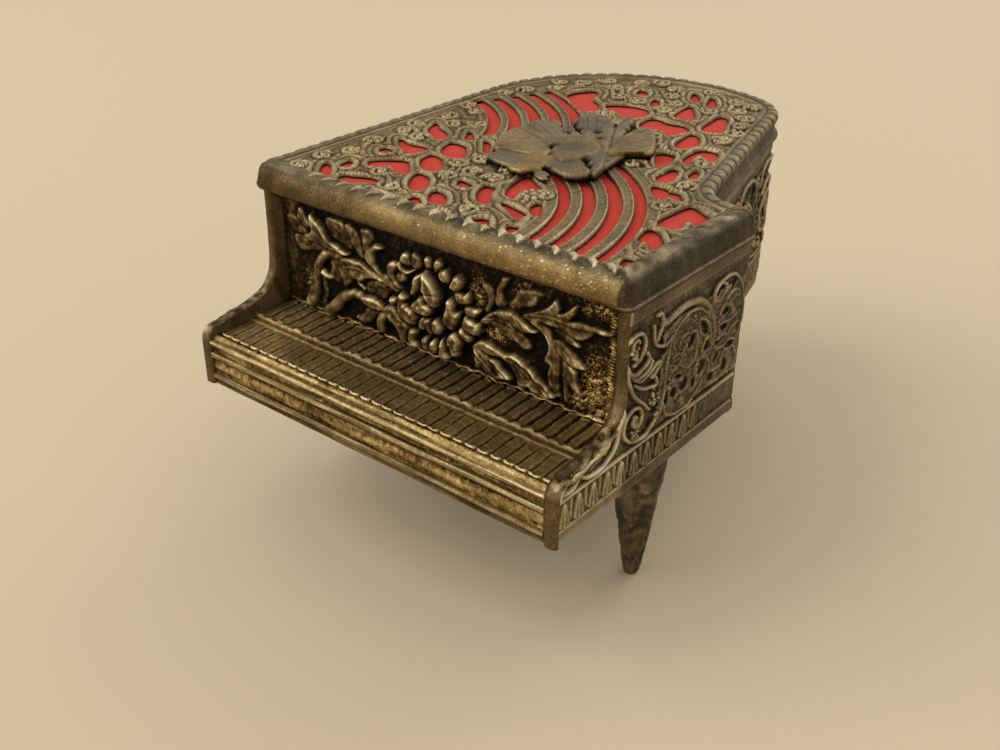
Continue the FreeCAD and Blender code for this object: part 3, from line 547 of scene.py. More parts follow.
def boardFinish(name, colours):
    # Plain strawboard: matt, with pale flecks about 1 mm long
    material, tree = newMaterial(name)
    flecks = addNode(tree, "TexNoise", {"Scale": 1.6, "Detail": 4.0, "Distortion": 0.8}, inMillimetres(tree))
    bump = addNode(tree, "Bump", {"Strength": 0.3, "Distance": 0.0001}, {"Height": flecks})
    finishWith(tree, {"Roughness": 0.85}, {"Base Color": colourRamp(tree, flecks, colours), "Normal": bump})
    return material


def metalFinish(name, colours, roughness, strength=0.25):
    # Plain worked metal: faint mottling and fine wear marks about 0.5 mm long
    material, tree = newMaterial(name)
    at = inMillimetres(tree)
    marks = addNode(tree, "TexNoise", {"Scale": 1.4, "Detail": 4.0, "Roughness": 0.65}, at)
    cloud = addNode(tree, "TexNoise", {"Scale": 0.16, "Detail": 3.0}, at)
    cloud = addNode(tree, "Math", {"operation": "MULTIPLY", 1: 0.55}, {0: cloud})
    level = addNode(tree, "Math", {"operation": "MULTIPLY_ADD", 1: 0.45}, {0: marks, 2: cloud})
    rough = addNode(tree, "MapRange", {"From Min": 0.3, "From Max": 0.7, "To Min": roughness[1],
                                       "To Max": roughness[0]}, {"Value": level})
    bump = addNode(tree, "Bump", {"Strength": strength, "Distance": 0.0001}, {"Height": marks})
    finishWith(tree, {"Metallic": 1.0},
               {"Base Color": colourRamp(tree, level, zip((0.35, 0.5, 0.68), colours)), "Roughness": rough,
                "Normal": bump})
    return material


agedPewter = castFinish("agedCastPewter", {
    "crest": 0.55, "level": -0.22, "patches": 0.40, "pits": 0.26, "sand": 0.66, "dull": 0.62, "rubbed": 0.34,
    "bump": 0.9,
    "colours": [(0.1, "17120c"), (0.34, "544a3a"), (0.6, "94866a"), (0.95, "dccfae")],
    "gold": [(0.1, "1d150b"), (0.32, "64502f"), (0.58, "a98c58"), (0.92, "ecd7a4")],
})
agedBrass = castFinish("agedBrassPlate", {
    "crest": 0.6, "level": -0.24, "patches": 0.40, "pits": 0.28, "sand": 0.66, "dull": 0.68, "rubbed": 0.42,
    "bump": 1.0,
    "colours": [(0.1, "0f0a06"), (0.34, "453722"), (0.6, "7f6c4a"), (0.95, "d8c8a2")],
    "gold": [(0.08, "140d06"), (0.3, "6b532c"), (0.56, "b89c66"), (0.9, "efdcaa")],
})
redFelt = feltFinish("redWoolFelt", [(0.25, "96180c"), (0.5, "c42a12"), (0.75, "dc4a24")])
greyBoard = boardFinish("strawBoard", [(0.3, "77684f"), (0.5, "97876a"), (0.7, "b5a688")])
# Worked metals: three colours from dark to bright, roughness rubbed and dull, and strength of bump
musicBrass = metalFinish("turnedBrass", ("a27c33", "cda650", "e6c982"), (0.22, 0.38))
springSteel = metalFinish("groundSteel", ("77787a", "a4a6a8", "c6c8ca"), (0.22, 0.4))
zincCasting = metalFinish("platedZinc", ("86847c", "aba89e", "c9c6bc"), (0.35, 0.5), 0.4)
slotFinish = {"pewter": agedPewter, "aged_brass": agedBrass, "red_felt": redFelt, "card": greyBoard,
              "steel": springSteel, "movement_casting": zincCasting, "movement_brass": musicBrass}
print("materials ready")


# Lid: openings in the field, as closed lines through a few points

scrollOpenings = [
    [(-37.3, 46.6), (-34.6, 44.5), (-30.4, 42.4), (-29.2, 38.7), (-32.1, 39.9), (-35.4, 42.4)],
    [(-25, 38.2), (-21.2, 37.8), (-18.7, 34.9), (-17.5, 32), (-20.8, 31.2), (-23.7, 33.7)],
    [(-22.9, 29.1), (-19.6, 28.2), (-16.2, 24.5), (-16.7, 22), (-19.2, 22.4), (-22.1, 25.3)],
    [(-35.4, 32.7), (-32.1, 31.6), (-27.1, 32), (-26.7, 29.5), (-27.5, 26.2), (-29.6, 28.2), (-32.5, 29.9)],
    [(-33.3, 26.2), (-31.2, 25.3), (-31.7, 23.7), (-33.8, 24.9)],
    [(-25, 22.4), (-22.5, 21.2), (-19.6, 17.8), (-21.7, 17.4), (-24.6, 18.7), (-27.5, 16.2), (-30, 18.2)],
    [(-33.3, 14.9), (-31.7, 13.7), (-31.2, 12), (-32.9, 12.4)],
    [(-35.8, 10.7), (-33.3, 9.1), (-30.8, 6.2), (-32.9, 6.6), (-35, 8.7)],
    [(-27.9, 7.4), (-25.8, 8.7), (-22.5, 10.3), (-20.4, 9.9), (-22.5, 7.8), (-24.2, 4.9), (-23.7, 2.6),
     (-25.8, 2.6), (-26.8, 4.5)],
    [(-17.9, 5.3), (-13.3, 4.5), (-9.2, 5.5), (-8.6, 2.4), (-12.5, 2.3), (-15, 3)],
    [(-17.1, 18.7), (-13.3, 17.4), (-11, 13.7), (-11.2, 11.6), (-13.7, 12.4), (-15.8, 15.3)],
    [(-8.1, 8), (-5.8, 6.6), (-4.2, 4.1), (-6.2, 5.3), (-8.3, 6.2)],
    [(-7.3, 13.2), (-4.2, 12), (-2.1, 9.3), (-5, 9.1), (-6.7, 10.7)],
    [(-1.2, 4.9), (1.7, 4.9), (2.5, 2.3), (0, 2.3)],
    [(8.3, 6.6), (10, 7.8), (11.7, 5.7), (14.2, 2.7), (12.1, 2.4), (10.2, 4.1)],
    [(15.4, 7.8), (16.9, 8.2), (17.1, 5.7)],
    [(-1.7, 21.6), (0.4, 21.6), (2.1, 18.2), (4, 15.7), (2.5, 14.9), (0, 17.4)],
    [(1, 31.6), (3.3, 30.3), (7.1, 27.4), (4.6, 25.3), (5.4, 22.4), (6.2, 20.3), (4.2, 21.2), (2.3, 24.9)],
    [(12.5, 20.7), (14.6, 18.2), (15.8, 15.7), (13.7, 16.8), (12.3, 18.8)],
    [(7.1, 16.2), (10, 15.7), (13.7, 14.5), (14, 12.7), (11.7, 13.7)],
    [(35.8, 38.2), (38.7, 36.8), (41, 35.2), (41.2, 31.6), (39.8, 32.4), (38.3, 30.7), (39.3, 27.8),
     (37.1, 26.8), (35.2, 27.8), (35.3, 33.7)],
    [(36, 23.1), (38.3, 22.4), (41, 19.1), (40.6, 16.6), (38.7, 18.7), (37.1, 18.2)],
    [(40.2, 9.1), (41.5, 9.1), (41.1, 6.6)],
    [(24.2, 43.5), (27.5, 43), (28.7, 38.7), (26.2, 39.9)],
    [(28.3, 42.4), (30, 42.8), (32.1, 40.3), (30.4, 40.7)],
    [(21.8, 54.9), (23.3, 52.8), (24.2, 48.2), (21.8, 48.2), (21.5, 51.2)],
    [(25.9, 57), (27.1, 54.5), (27.6, 52.4), (26.3, 53.7)],
    [(13.7, 61.8), (16.7, 62.4), (17.9, 58.2), (17.7, 55.3), (15.8, 57.4)],
    [(19.6, 69.5), (23.2, 69.9), (24.4, 65.7), (22.3, 66.6), (20.4, 66.2), (20.8, 62.4), (21.7, 60.3),
     (19.8, 62.4)],
    [(12.1, 78), (14.6, 76.6), (16.4, 72.8), (15.8, 69.9), (14.6, 67.8), (12.9, 71.2)],
    [(-1.2, 82.8), (3.3, 82), (7.5, 82.4), (9.8, 79.5), (8.3, 74.5), (5.4, 77), (3.3, 76.6), (2.1, 74.1),
     (-0.8, 77)],
    [(10.4, 94.5), (12.5, 93.3), (14.2, 88.7), (16.2, 83.3), (12.9, 82.4), (11.2, 85.3), (10.7, 89.5)],
    [(0.4, 97), (2.5, 94.5), (4.6, 91.6), (5.4, 88.3), (2.1, 87.4), (0.8, 91.2)],
    [(-15.4, 84.9), (-11.7, 87.8), (-6.7, 88.2), (-4.2, 84.5), (-4.6, 81.2), (-7.1, 80.3), (-10.8, 82),
     (-13.3, 82.4)],
    [(-28.2, 87), (-25, 93.3), (-21.7, 87), (-17.9, 84.1), (-16, 79.5), (-17.9, 77.4), (-21.7, 80.3),
     (-25, 82.8)],
    [(0.8, 107), (3.3, 103.7), (4.6, 100.3), (2.9, 101.2)],
    [(-4.6, 107.8), (-1.7, 104.5), (-1.2, 102), (-3.3, 104.1)],
    [(-16.7, 101.6), (-14.6, 100.8), (-13.7, 97.8), (-15.8, 98.7)],
    [(-9.2, 96.6), (-7.1, 94.5), (-6.5, 91.6), (-8.3, 93.3)],
    [(-27.1, 46.6), (-25, 44.9), (-23.3, 42.8), (-25, 43.2)],
    [(-20, 43.7), (-17.5, 42), (-15.4, 38.7), (-16.7, 39.5)],
    [(-7.5, 21), (-4.2, 19.9), (-4.6, 18.7), (-6.7, 19.3)],
]
# gaps between radii round a centre, in degrees from and to, and the outer edges of each set
bands = [
    {"centre": (-18.5, 3), "gaps": [(39.3, 41.3), (44, 46.2), (49, 51.4), (54, 56)], "from": 1.2, "to": 66,
     "edges": (36.3, 58.8)},
    {"centre": (-58.5, 32.5), "gaps": [(37.6, 40.2), (42.4, 45), (47.2, 49.8), (52, 54.6), (56.8, 59.4)],
     "from": 24, "to": 66, "edges": (35.4, 61.6)},
]
# the ribbed vines round the openings, the smooth main vine, and strands beside the cheek
fieldVine = {"width": 1.5, "notch": 0.8, "reach": 4.5, "height": 0.74}
mainVine = [(-1, 35), (1.0, 29), (-0.5, 24.5), (1.2, 20.5), (5, 17.6), (9.5, 17.2), (14, 14.6), (16.5, 10)]
rosette = {"x": 8.6, "y": 23.8, "petals": 8}
sideVines = [([(35.5, 24.5), (37.5, 25.3), (41, 25), (42.5, 24)], 1.7, 0.9, 0.3),
             ([(33.6, 27), (35.2, 24.8), (34.8, 20), (36.5, 15), (39.5, 11), (39, 5)], 1.9, 0.9, 0.3),
             ([(31, 38.5), (34, 38.8), (37.5, 39.3), (41, 37.5)], 1.9, 0.95, 0.35)]


def bandLoop(centre, inner, outer, start, end):
    # One long gap between two bands: an arc slot
    a = np.radians(np.linspace(start, end, 26))
    arc = np.stack([np.cos(a), np.sin(a)], -1)
    return closed(np.vstack([arc * outer, arc[::-1] * inner])) + np.array(centre)


def buildField():
    relief, x, y, height = newRelief(-44.5, 43.8, 1.4, 115.5, 0.27)
    border = -awayFrom(x, y, closed(planPath(lid["fieldInset"], 1.2)[0]))
    level = border.copy()
    height += 0.42 * ridged(x.shape, 3, 3) + 0.12 * grain(x.shape, 1, 4)

    # bands: two raised edges to each gap and a low stippled middle
    free = np.ones(x.shape, bool)
    for band in bands:
        cx, cy = band["centre"]
        reach, angle = np.hypot(x - cx, y - cy), np.degrees(np.arctan2(y - cy, x - cx))
        start, end, (inner, outer) = band["from"], band["to"], band["edges"]
        crossed = (reach > inner) & (reach < outer)
        free &= ~(crossed & (angle > start - 3) & (angle < end + 3))
        within = (angle > start - 2) & (angle < end + 3)
        raiseUp(relief, np.where(within & crossed, 0.42 + 0.14 * grain(x.shape, 1, 5), 0))
        ridges = [inner + 0.3, outer - 0.3]
        for low, high in band["gaps"]:
            ridges += [low - 0.32, high + 0.32]
        for r in ridges:
            raiseUp(relief, np.where(within, 0.78 * dome((reach - r) / 0.34), 0))
        for gap in band["gaps"]:
            loop = bandLoop(band["centre"], *gap, start, end)
            win = windowOf(relief, loop, 2.0)
            level[win] = np.minimum(level[win], awayFrom(x[win], y[win], loop) - 0.1)

    # each opening also reaches a little way from the camera side, so that felt shows in it;
    # the metal round it is drawn as rows of ribbed vines that follow its edge
    nearest, alongEdge = np.full(x.shape, 50.0), np.zeros(x.shape)
    for points in scrollOpenings:
        loop = closedLoop(points)
        win = windowOf(relief, loop, 6.0)
        for dx, dy in ((0, 0), (-0.7, 0.87)):
            away, run = awayFrom(x[win] - dx, y[win] - dy, loop, True)
            closer = away - 0.3 < nearest[win]
            nearest[win] = np.where(closer, away - 0.3, nearest[win])
            alongEdge[win] = np.where(closer, run, alongEdge[win])
    level = np.minimum(level, nearest)
    row = np.floor(nearest / fieldVine["width"])
    q = np.abs(nearest / fieldVine["width"] - row - 0.5) * 2
    notch = wave((alongEdge + 0.35 * nearest + 0.4 * row) / fieldVine["notch"])
    vine = (fieldVine["height"] + 0.2 * np.sin(alongEdge * 0.5 + row * 2.3)) * dome(q)
    vine = vine * (1 - 0.6 * notch**1.5 * (0.35 + 0.65 * q)) - 0.12 * grain(x.shape, 1, 6)
    vined = free & (nearest > 0) & (nearest < fieldVine["reach"])
    height[:] = np.where(vined, np.maximum(vine, height * 0.6), height)

    # curled heads with grains in them wherever the metal is widest
    rng = np.random.default_rng(11)
    room = np.where(free & (np.hypot(x + 2.2, y - 53.0) > 15), np.minimum(nearest, border + 0.9), 0)
    for _ in range(60):
        spot = np.unravel_index(room.argmax(), room.shape)
        if room[spot] < 1.9:
            break
        px, py, size = x[spot], y[spot], min(room[spot] * 0.95, 2.7)
        room = np.minimum(room, np.hypot(x - px, y - py) - size * 0.9)
        hollowOut(relief, px, py, size * 1.1, size * 1.1, 0, 0.1)
        start, hand = rng.uniform(0, 360), rng.choice([-1, 1])
        curl(relief, px, py, size, 1.3, start, hand, size * 0.42, 0.92, 0.6, 0.7)
        for b in rng.uniform(0, 2 * math.pi, 4):
            bead(relief, px + 0.6 * size * math.cos(b), py + 0.6 * size * math.sin(b), 0.42, 1.0)

    # the big smooth vine that curls out from the flower, and a rosette beside it
    strand(relief, mainVine, 2.3, 0.95)
    strand(relief, mainVine, 1.0, 0.55)
    bead(relief, rosette["x"], rosette["y"], 2.6, 0.8)
    for a in np.radians(np.arange(rosette["petals"]) * 360 / rosette["petals"]):
        bead(relief, rosette["x"] + 1.9 * math.cos(a), rosette["y"] + 2.0 * math.sin(a), 0.75, 1.15)
    bead(relief, rosette["x"], rosette["y"], 1.0, 1.25)
    for line, width, high, ribs in sideVines:
        strand(relief, line, width, high, ribs, 0.9)

    # rolled border all round the field
    raiseUp(relief, 0.5 * np.sqrt(clamp(1 - (border - 0.6)**2 / 0.5)))
    height -= 0.18 * clamp(1 - level / 0.35)**2
    relief["tone"] = 0.35 * grain(x.shape, 18, 8)
    # raised metal towards the front is painted brighter, as highlight
    relief["shine"] = 0.12 * clamp((40 - y) / 30) * clamp((height - 0.3) / 0.4)
    base = lid["top"] - 0.85
    field = reliefPiece("lid_openwork", relief, level, above(base), 74.2 - base, "lid", agedPewter, brim=0.0)
    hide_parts("lid_casting")


# the rim's section from its inner edge under the field, over the top, down the side and up
# inside: as inset and z along the keys, over the cheek, and on the other sides
rimSections = [
    [(5.6, 73.9), (5.6, 75.1), (4.9, 75.33), (3.2, 75.3), (2.3, 75.05), (1.6, 74.65), (1, 74), (0.62, 73.2),
     (0.42, 72.4), (0.36, 71.6), (0.42, 70.8), (0.62, 70.2), (0.95, 69.8), (1.4, 69.65)],
    [(5.6, 73.9), (5.6, 75.1), (4.9, 75.33), (2.9, 75.3), (1.9, 75.05), (1.2, 74.6), (0.75, 74), (0.5, 73.3),
     (0.42, 72.2), (0.45, 70.8), (0.3, 70.5), (0, 70.4), (0, 69.8), (0.12, 69.65)],
    [(3.9, 73.9), (3.9, 75), (3.5, 75.3), (1.8, 75.3), (1.1, 75.1), (0.75, 74.7), (0.75, 74.2), (0.95, 73.2),
     (0.9, 71.8), (0.7, 71), (0.35, 70.5), (0, 70.35), (0, 69.75), (0.12, 69.65)],
]
rimInside = [(2.1, 69.65), (2.2, 69.8), (2.2, 73.7), (2.3, 73.75)]
# lumps of the rope, arrowhead leaves of the key side and dimples over the cheek, in mm
rimLook = {"ropePitch": 3.7, "studPitch": 4.18, "studLength": 2.7, "studHalf": 1.6, "dimplePitch": 4.4}


def buildRim():
    # A closed ring: the section's points carried round the plan, then moved along the
    # surface's own normal by lift; side is 0 along the keys, 1 over the cheek and then on
    rows = []
    for keys, cheek, rest in zip(*(evenly(line + rimInside, 62) for line in rimSections)):
        inset, z = np.array([keys, cheek] + [rest] * 5).T
        points, _, place = planPath(inset, 0.36)
        side = np.floor(place).astype(int) % 7
        rows.append(np.column_stack([points, z[side]]))
    grid = np.stack(rows)
    run = runOf(grid[len(rows) // 3, :, :2])
    normal = np.cross(np.roll(grid, -1, 0) - np.roll(grid, 1, 0), np.roll(grid, -1, 1) - np.roll(grid, 1, 1))
    normal /= np.maximum(np.linalg.norm(normal, axis=-1, keepdims=True), 1e-9)
    down = np.concatenate([[0], np.cumsum(np.linalg.norm(np.diff(grid, axis=0), axis=-1).mean(1))])[:, None]
    keySide, cheekSide, roped = side == 0, side == 1, side > 1

    # rounded lumps like a twisted rope along the top edge, over a thin line
    phase = np.mod((run + 0.2 * (down - 4)) / rimLook["ropePitch"], 1.0) * 2 - 1
    lump = np.sqrt(clamp(1 - np.abs(phase)**3.5))
    rope = (0.85 * lump - 0.42) * dome((down - 4.5) / 2.3)
    lift = np.where(roped, rope + 0.22 * dome((down - 1.3) / 0.5), 0)
    # arrowhead leaves along the keyboard side, their tips outwards
    cell = (np.mod(run / rimLook["studPitch"] + 0.25, 1.0) - 0.5) * rimLook["studPitch"]
    length = clamp((down - 2.0) / rimLook["studLength"])
    half = rimLook["studHalf"] * (1 - length) * clamp(length / 0.12)**0.5
    stud = clamp(1 - np.abs(cell) / np.maximum(half, 0.05)) * (half > 0.1) * (place < 1)
    stud = stud * clamp((place - 0.12) / 0.6)
    lift = lift + 0.15 * (stud > 0) + 0.5 * stud
    dimples = wave(run / rimLook["dimplePitch"])
    lift = lift + np.where(cheekSide, 0.25 * clamp(1 - ((down - 3.2) / 1.6)**2) * dimples, 0)
    uneven = grain(lift.shape, 2, 14) - 0.4
    lift = lift + np.where(roped, 0, 0.3 * clamp(1 - np.abs(down - 2.0) / 1.6)) * uneven
    # cast unevenness
    lift = lift + 0.05 * np.sin(run * 0.9 + 2.0 * np.sin(run * 0.23)) * clamp(down / 3) * (down < 12)

    # the nose along the keys is brassy, darker to the left; on the other sides it is painted
    # darker as shade, most over the cheek, with a painted highlight along the cheek's lower lip
    share = np.where(keySide, 0.7, 0.1) * clamp((down - 5) / 2)
    lower = clamp((down - 4.6) / 1.2) * (down < 14) + 0 * run
    shade = np.where(keySide, -0.32 * clamp((0.45 - place) / 0.4), np.where(cheekSide, -0.36, -0.25)) * lower
    # a thin painted highlight along the lower lip of the nose over the cheek
    shade = shade + np.where(cheekSide, 0.5 * bell((down - 9.9) / 0.3), 0)
    shade = shade + 0.5 * (grain(lower.shape, 3, 15) - 0.5) * (1 - lower) * ~roped
    # painted glints: bright specks on the nose along the keys, thicker towards the right
    paintedGlints = np.random.default_rng(17).random(lower.shape) > 1 - 0.04 * clamp(place - 0.3)
    shade = shade + 0.7 * paintedGlints * keySide * (down < 12) + 0.25 * (stud > 0)
    crest = np.tanh(1.5 * (lift - soften(lift, 2)) + 0.4 * (lift - soften(lift, 4)))
    grid = np.minimum(grid + normal * lift[..., None], (lid["halfWidth"] - 0.01, lid["tailEnd"] - 0.01, 80))
    rim = addMesh("lid_rim", grid, [gridQuads(*lift.shape, True, True)], "lid", agedPewter,
                  {"crest": crest + shade, "tone": share}, True)
    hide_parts("lid_casting")


# the flower's petals from the lowest to the highest: outline in plan, height, and gold tone
flowerPetals = [
    ([(2.2, 32.5), (1.4, 34.8), (3.5, 34.6), (6, 32.8), (6, 30.8), (3.9, 31)], 0.8, 0),
    ([(-11.4, 34.4), (-12.1, 37.1), (-12.5, 40.6), (-9.9, 41.1), (-6.5, 40.7), (-2.8, 40.2), (-2.7, 35.4),
     (-3.5, 32.7), (-6.2, 32.4), (-9.1, 33.1)], 1.1, 0),
    ([(7, 49.9), (8.7, 52.1), (10.4, 52.8), (10.8, 49.9), (11.4, 46.2), (11.6, 43.3), (9.7, 44.7),
     (8, 47.5)], 1.2, 0.05),
    ([(-3.2, 32.3), (-5.1, 38.5), (-3.9, 41.2), (-1.6, 42.1), (-1.4, 44.4), (1.4, 42.5), (2.5, 39.2),
     (1.6, 36.9), (2.5, 34.6), (1.2, 32.8), (0, 30.7), (-2.2, 30.6), (-4.2, 31.9)], 1.3, 0.75),
    ([(-14.2, 39.4), (-16.7, 44.1), (-18.2, 48.1), (-18.5, 51.1), (-17.3, 53.2), (-13.6, 51.6),
     (-9.4, 49.3), (-5.4, 47.5), (-2.5, 45), (-2, 40.8), (-5.8, 39.8), (-10.1, 39.3), (-12.5, 38.4)], 1.5,
     0.45),
    ([(1, 38), (1.9, 40.9), (4.2, 43), (5.8, 44.7), (8.7, 41.5), (10.8, 40), (11.9, 37.9), (11, 35.3),
     (8.7, 34.2), (5.5, 35.2), (3, 36.4)], 1.6, 0),
    ([(7.2, 50.8), (5.2, 55.7), (3.9, 61), (2.5, 68.1), (3.8, 71.3), (6.4, 70.8), (9.4, 66.8), (14, 58.8),
     (13, 56), (10.6, 53.5), (9.2, 51.2)], 1.6, 0.25),
    ([(-6.9, 56.4), (-9.2, 59.8), (-10.7, 63.2), (-8.1, 60.7), (-4, 57.6), (-4.5, 56)], 1.6, 0),
    ([(6.2, 46.4), (5, 51.3), (3.5, 54.5), (4.7, 55.5), (7.8, 51), (8.9, 48.2), (8.1, 46.4)], 1.7, 0.1),
    ([(-16.9, 52.7), (-17.9, 55.3), (-17.6, 58.7), (-15.9, 61.1), (-13.4, 62), (-11.3, 60.4), (-8, 56.5),
     (-6.1, 55.7), (-5.2, 52.3), (-4.9, 49.1), (-4.6, 46), (-8.8, 48.1), (-13.1, 50.9)], 1.8, 0),
    ([(5.5, 45.6), (5.7, 47.5), (7.4, 47.9), (8.8, 48.4), (11.3, 44.1), (12.8, 40.1), (12.7, 38.1),
     (9.8, 41.3)], 1.8, 0),
    ([(-0.5, 65.4), (-2.8, 70.8), (-3.9, 75.3), (-2, 75.6), (0.5, 70.6), (2.8, 64.6), (4.5, 59.6),
     (5.8, 55), (2.9, 58.8)], 1.8, 0),
    ([(-11.1, 64.3), (-11.7, 67.9), (-11.7, 71.8), (-8.5, 72.3), (-4.8, 70.7), (-0.9, 65.8), (2.8, 59.5),
     (5.6, 53.9), (4.5, 52.9), (0.3, 56.2), (-3.9, 57.8), (-7, 60.6)], 1.9, 0),
    ([(-3, 45.4), (-5.3, 50.5), (-5.6, 54.6), (-3.4, 56.2), (0.5, 55.4), (3.9, 53.6), (6.1, 50.4),
     (6.9, 46.5), (6.5, 44.1), (5.2, 41.5), (3.3, 39.8), (1, 41), (-1.1, 43.2)], 2.2, 0.2),
]
# hollows where the petals part, sunk and painted dark as shade: x, y and radius
flowerHollows = [
    (-3.5, 46.4, 0.9), (-10.3, 59.9, 1), (-7.4, 56.9, 0.8), (-9.6, 63, 0.6), (-6.3, 59.8, 0.6),
    (-1.8, 60.6, 0.9), (1.2, 57.3, 0.7), (6.9, 43.9, 0.8), (9.2, 41.7, 0.7), (2.2, 67.1, 0.7),
    (0.8, 70.9, 0.7), (2.7, 35.7, 0.8), (6.2, 32.7, 0.7)]
# middle of the lines, highest point over the seat, lean in x and y per mm of height, z of seat
flower = {"centre": (3.7, 45.3), "top": 2.4, "lean": (0.25, -0.312), "seat": 75.4}


def buildFlower():
    # Broad petals round a low mound, with fine lines that run out from the middle. Higher
    # metal leans 0.4 mm per mm towards the front, so that the petals' edges are undercut.
    relief, x, y, height = newRelief(-20.0, 15.6, 29.4, 77.0, 0.2)
    for outline, high, tone in flowerPetals:
        blade(relief, outline, high, edge=1.1, tone=tone, cup=0.0, grow=0.25)
    base = height.copy()
    dx, dy = x - flower["centre"][0], y - flower["centre"][1]
    angle, reach = np.arctan2(dy, dx), np.hypot(dy, dx)
    drift = 5 * grain(x.shape, 9, 24)
    lines = 0.02 * np.cos(60 * angle + drift) * clamp(reach / 6) \
        + 0.028 * np.cos(137 * angle + 2 * drift) * clamp((reach - 5) / 6)
    height += (lines + 0.3 * (grain(x.shape, 14, 25) - 0.5)) * clamp(base - 0.4)
    dark = sum(np.exp(-((x - gx)**2 + (y - gy)**2) / size**2) for gx, gy, size in flowerHollows)
    height -= 1.2 * dark * (base > 0.5)
    strand(relief, [(7.4, 50.6), (9.2, 51.4), (10.6, 53.5), (13.0, 56.0)], 0.9, 1.85, tone=1.0)
    height[:] = np.minimum(height, flower["top"])
    step = np.tanh(1.2 * (base - soften(base, 2)))
    blotches = grain(x.shape, 12, 27) - 0.5
    # lines, edges and blotches set the crest; the hollows where petals part are painted dark, as shade
    relief["crest"] = 0.02 + 2.2 * lines + 0.3 * step + 0.25 * blotches - 0.9 * clamp(dark)
    (leanX, leanY), seat = flower["lean"], flower["seat"]
    # the petals' walls keep the dark wall crest: painted shade under their undercut edges
    piece = reliefPiece("lid_flower_petals", relief, height - 0.3,
                        lambda px, py, up: np.stack([px + leanX * up, py + leanY * up, seat + up], -1),
                        0.0, "lid", agedPewter)
    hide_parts("lid_flower")


# insets of the felt's edge and of the part the rim holds down, and z of the layers' faces
lining = {"inset": 2.4, "heldInset": [5.9, 5.9, 4.3, 4.3, 4.3, 4.3, 4.3], "felt": 73.55, "card": 73.1,
          "under": 72.15}


def buildLining():
    # Red felt stretched over its card under the openwork; it rises a little into the openings
    # where the casting's rim doesn't hold it down
    outline, free = (closed(planPath(lining[key], 1.5)[0]) for key in ("inset", "heldInset"))
    relief, px, py, height = newRelief(-45, 45, 2, 116, 1.0)
    level = -awayFrom(px, py, outline)
    height += 0.46 * clamp(-awayFrom(px, py, free) / 0.8) + 0.1 * grain(level.shape, 3, 21)
    felt = reliefPiece("lid_felt", relief, level, above(lining["felt"]),
                       lining["card"] - lining["felt"] + height * 0.8, "lid", redFelt)
    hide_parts("lid_lining")
    height[:] = 0.05 * grain(level.shape, 2, 22)
    top = lining["card"] - 0.06
    board = reliefPiece("lid_card", relief, level, above(top), lining["under"] - top, "lid", greyBoard)
    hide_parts("lid_lining")


buildField()
buildRim()
buildFlower()
buildLining()
print("lid built")


# Case: front panel with its flower and leaves

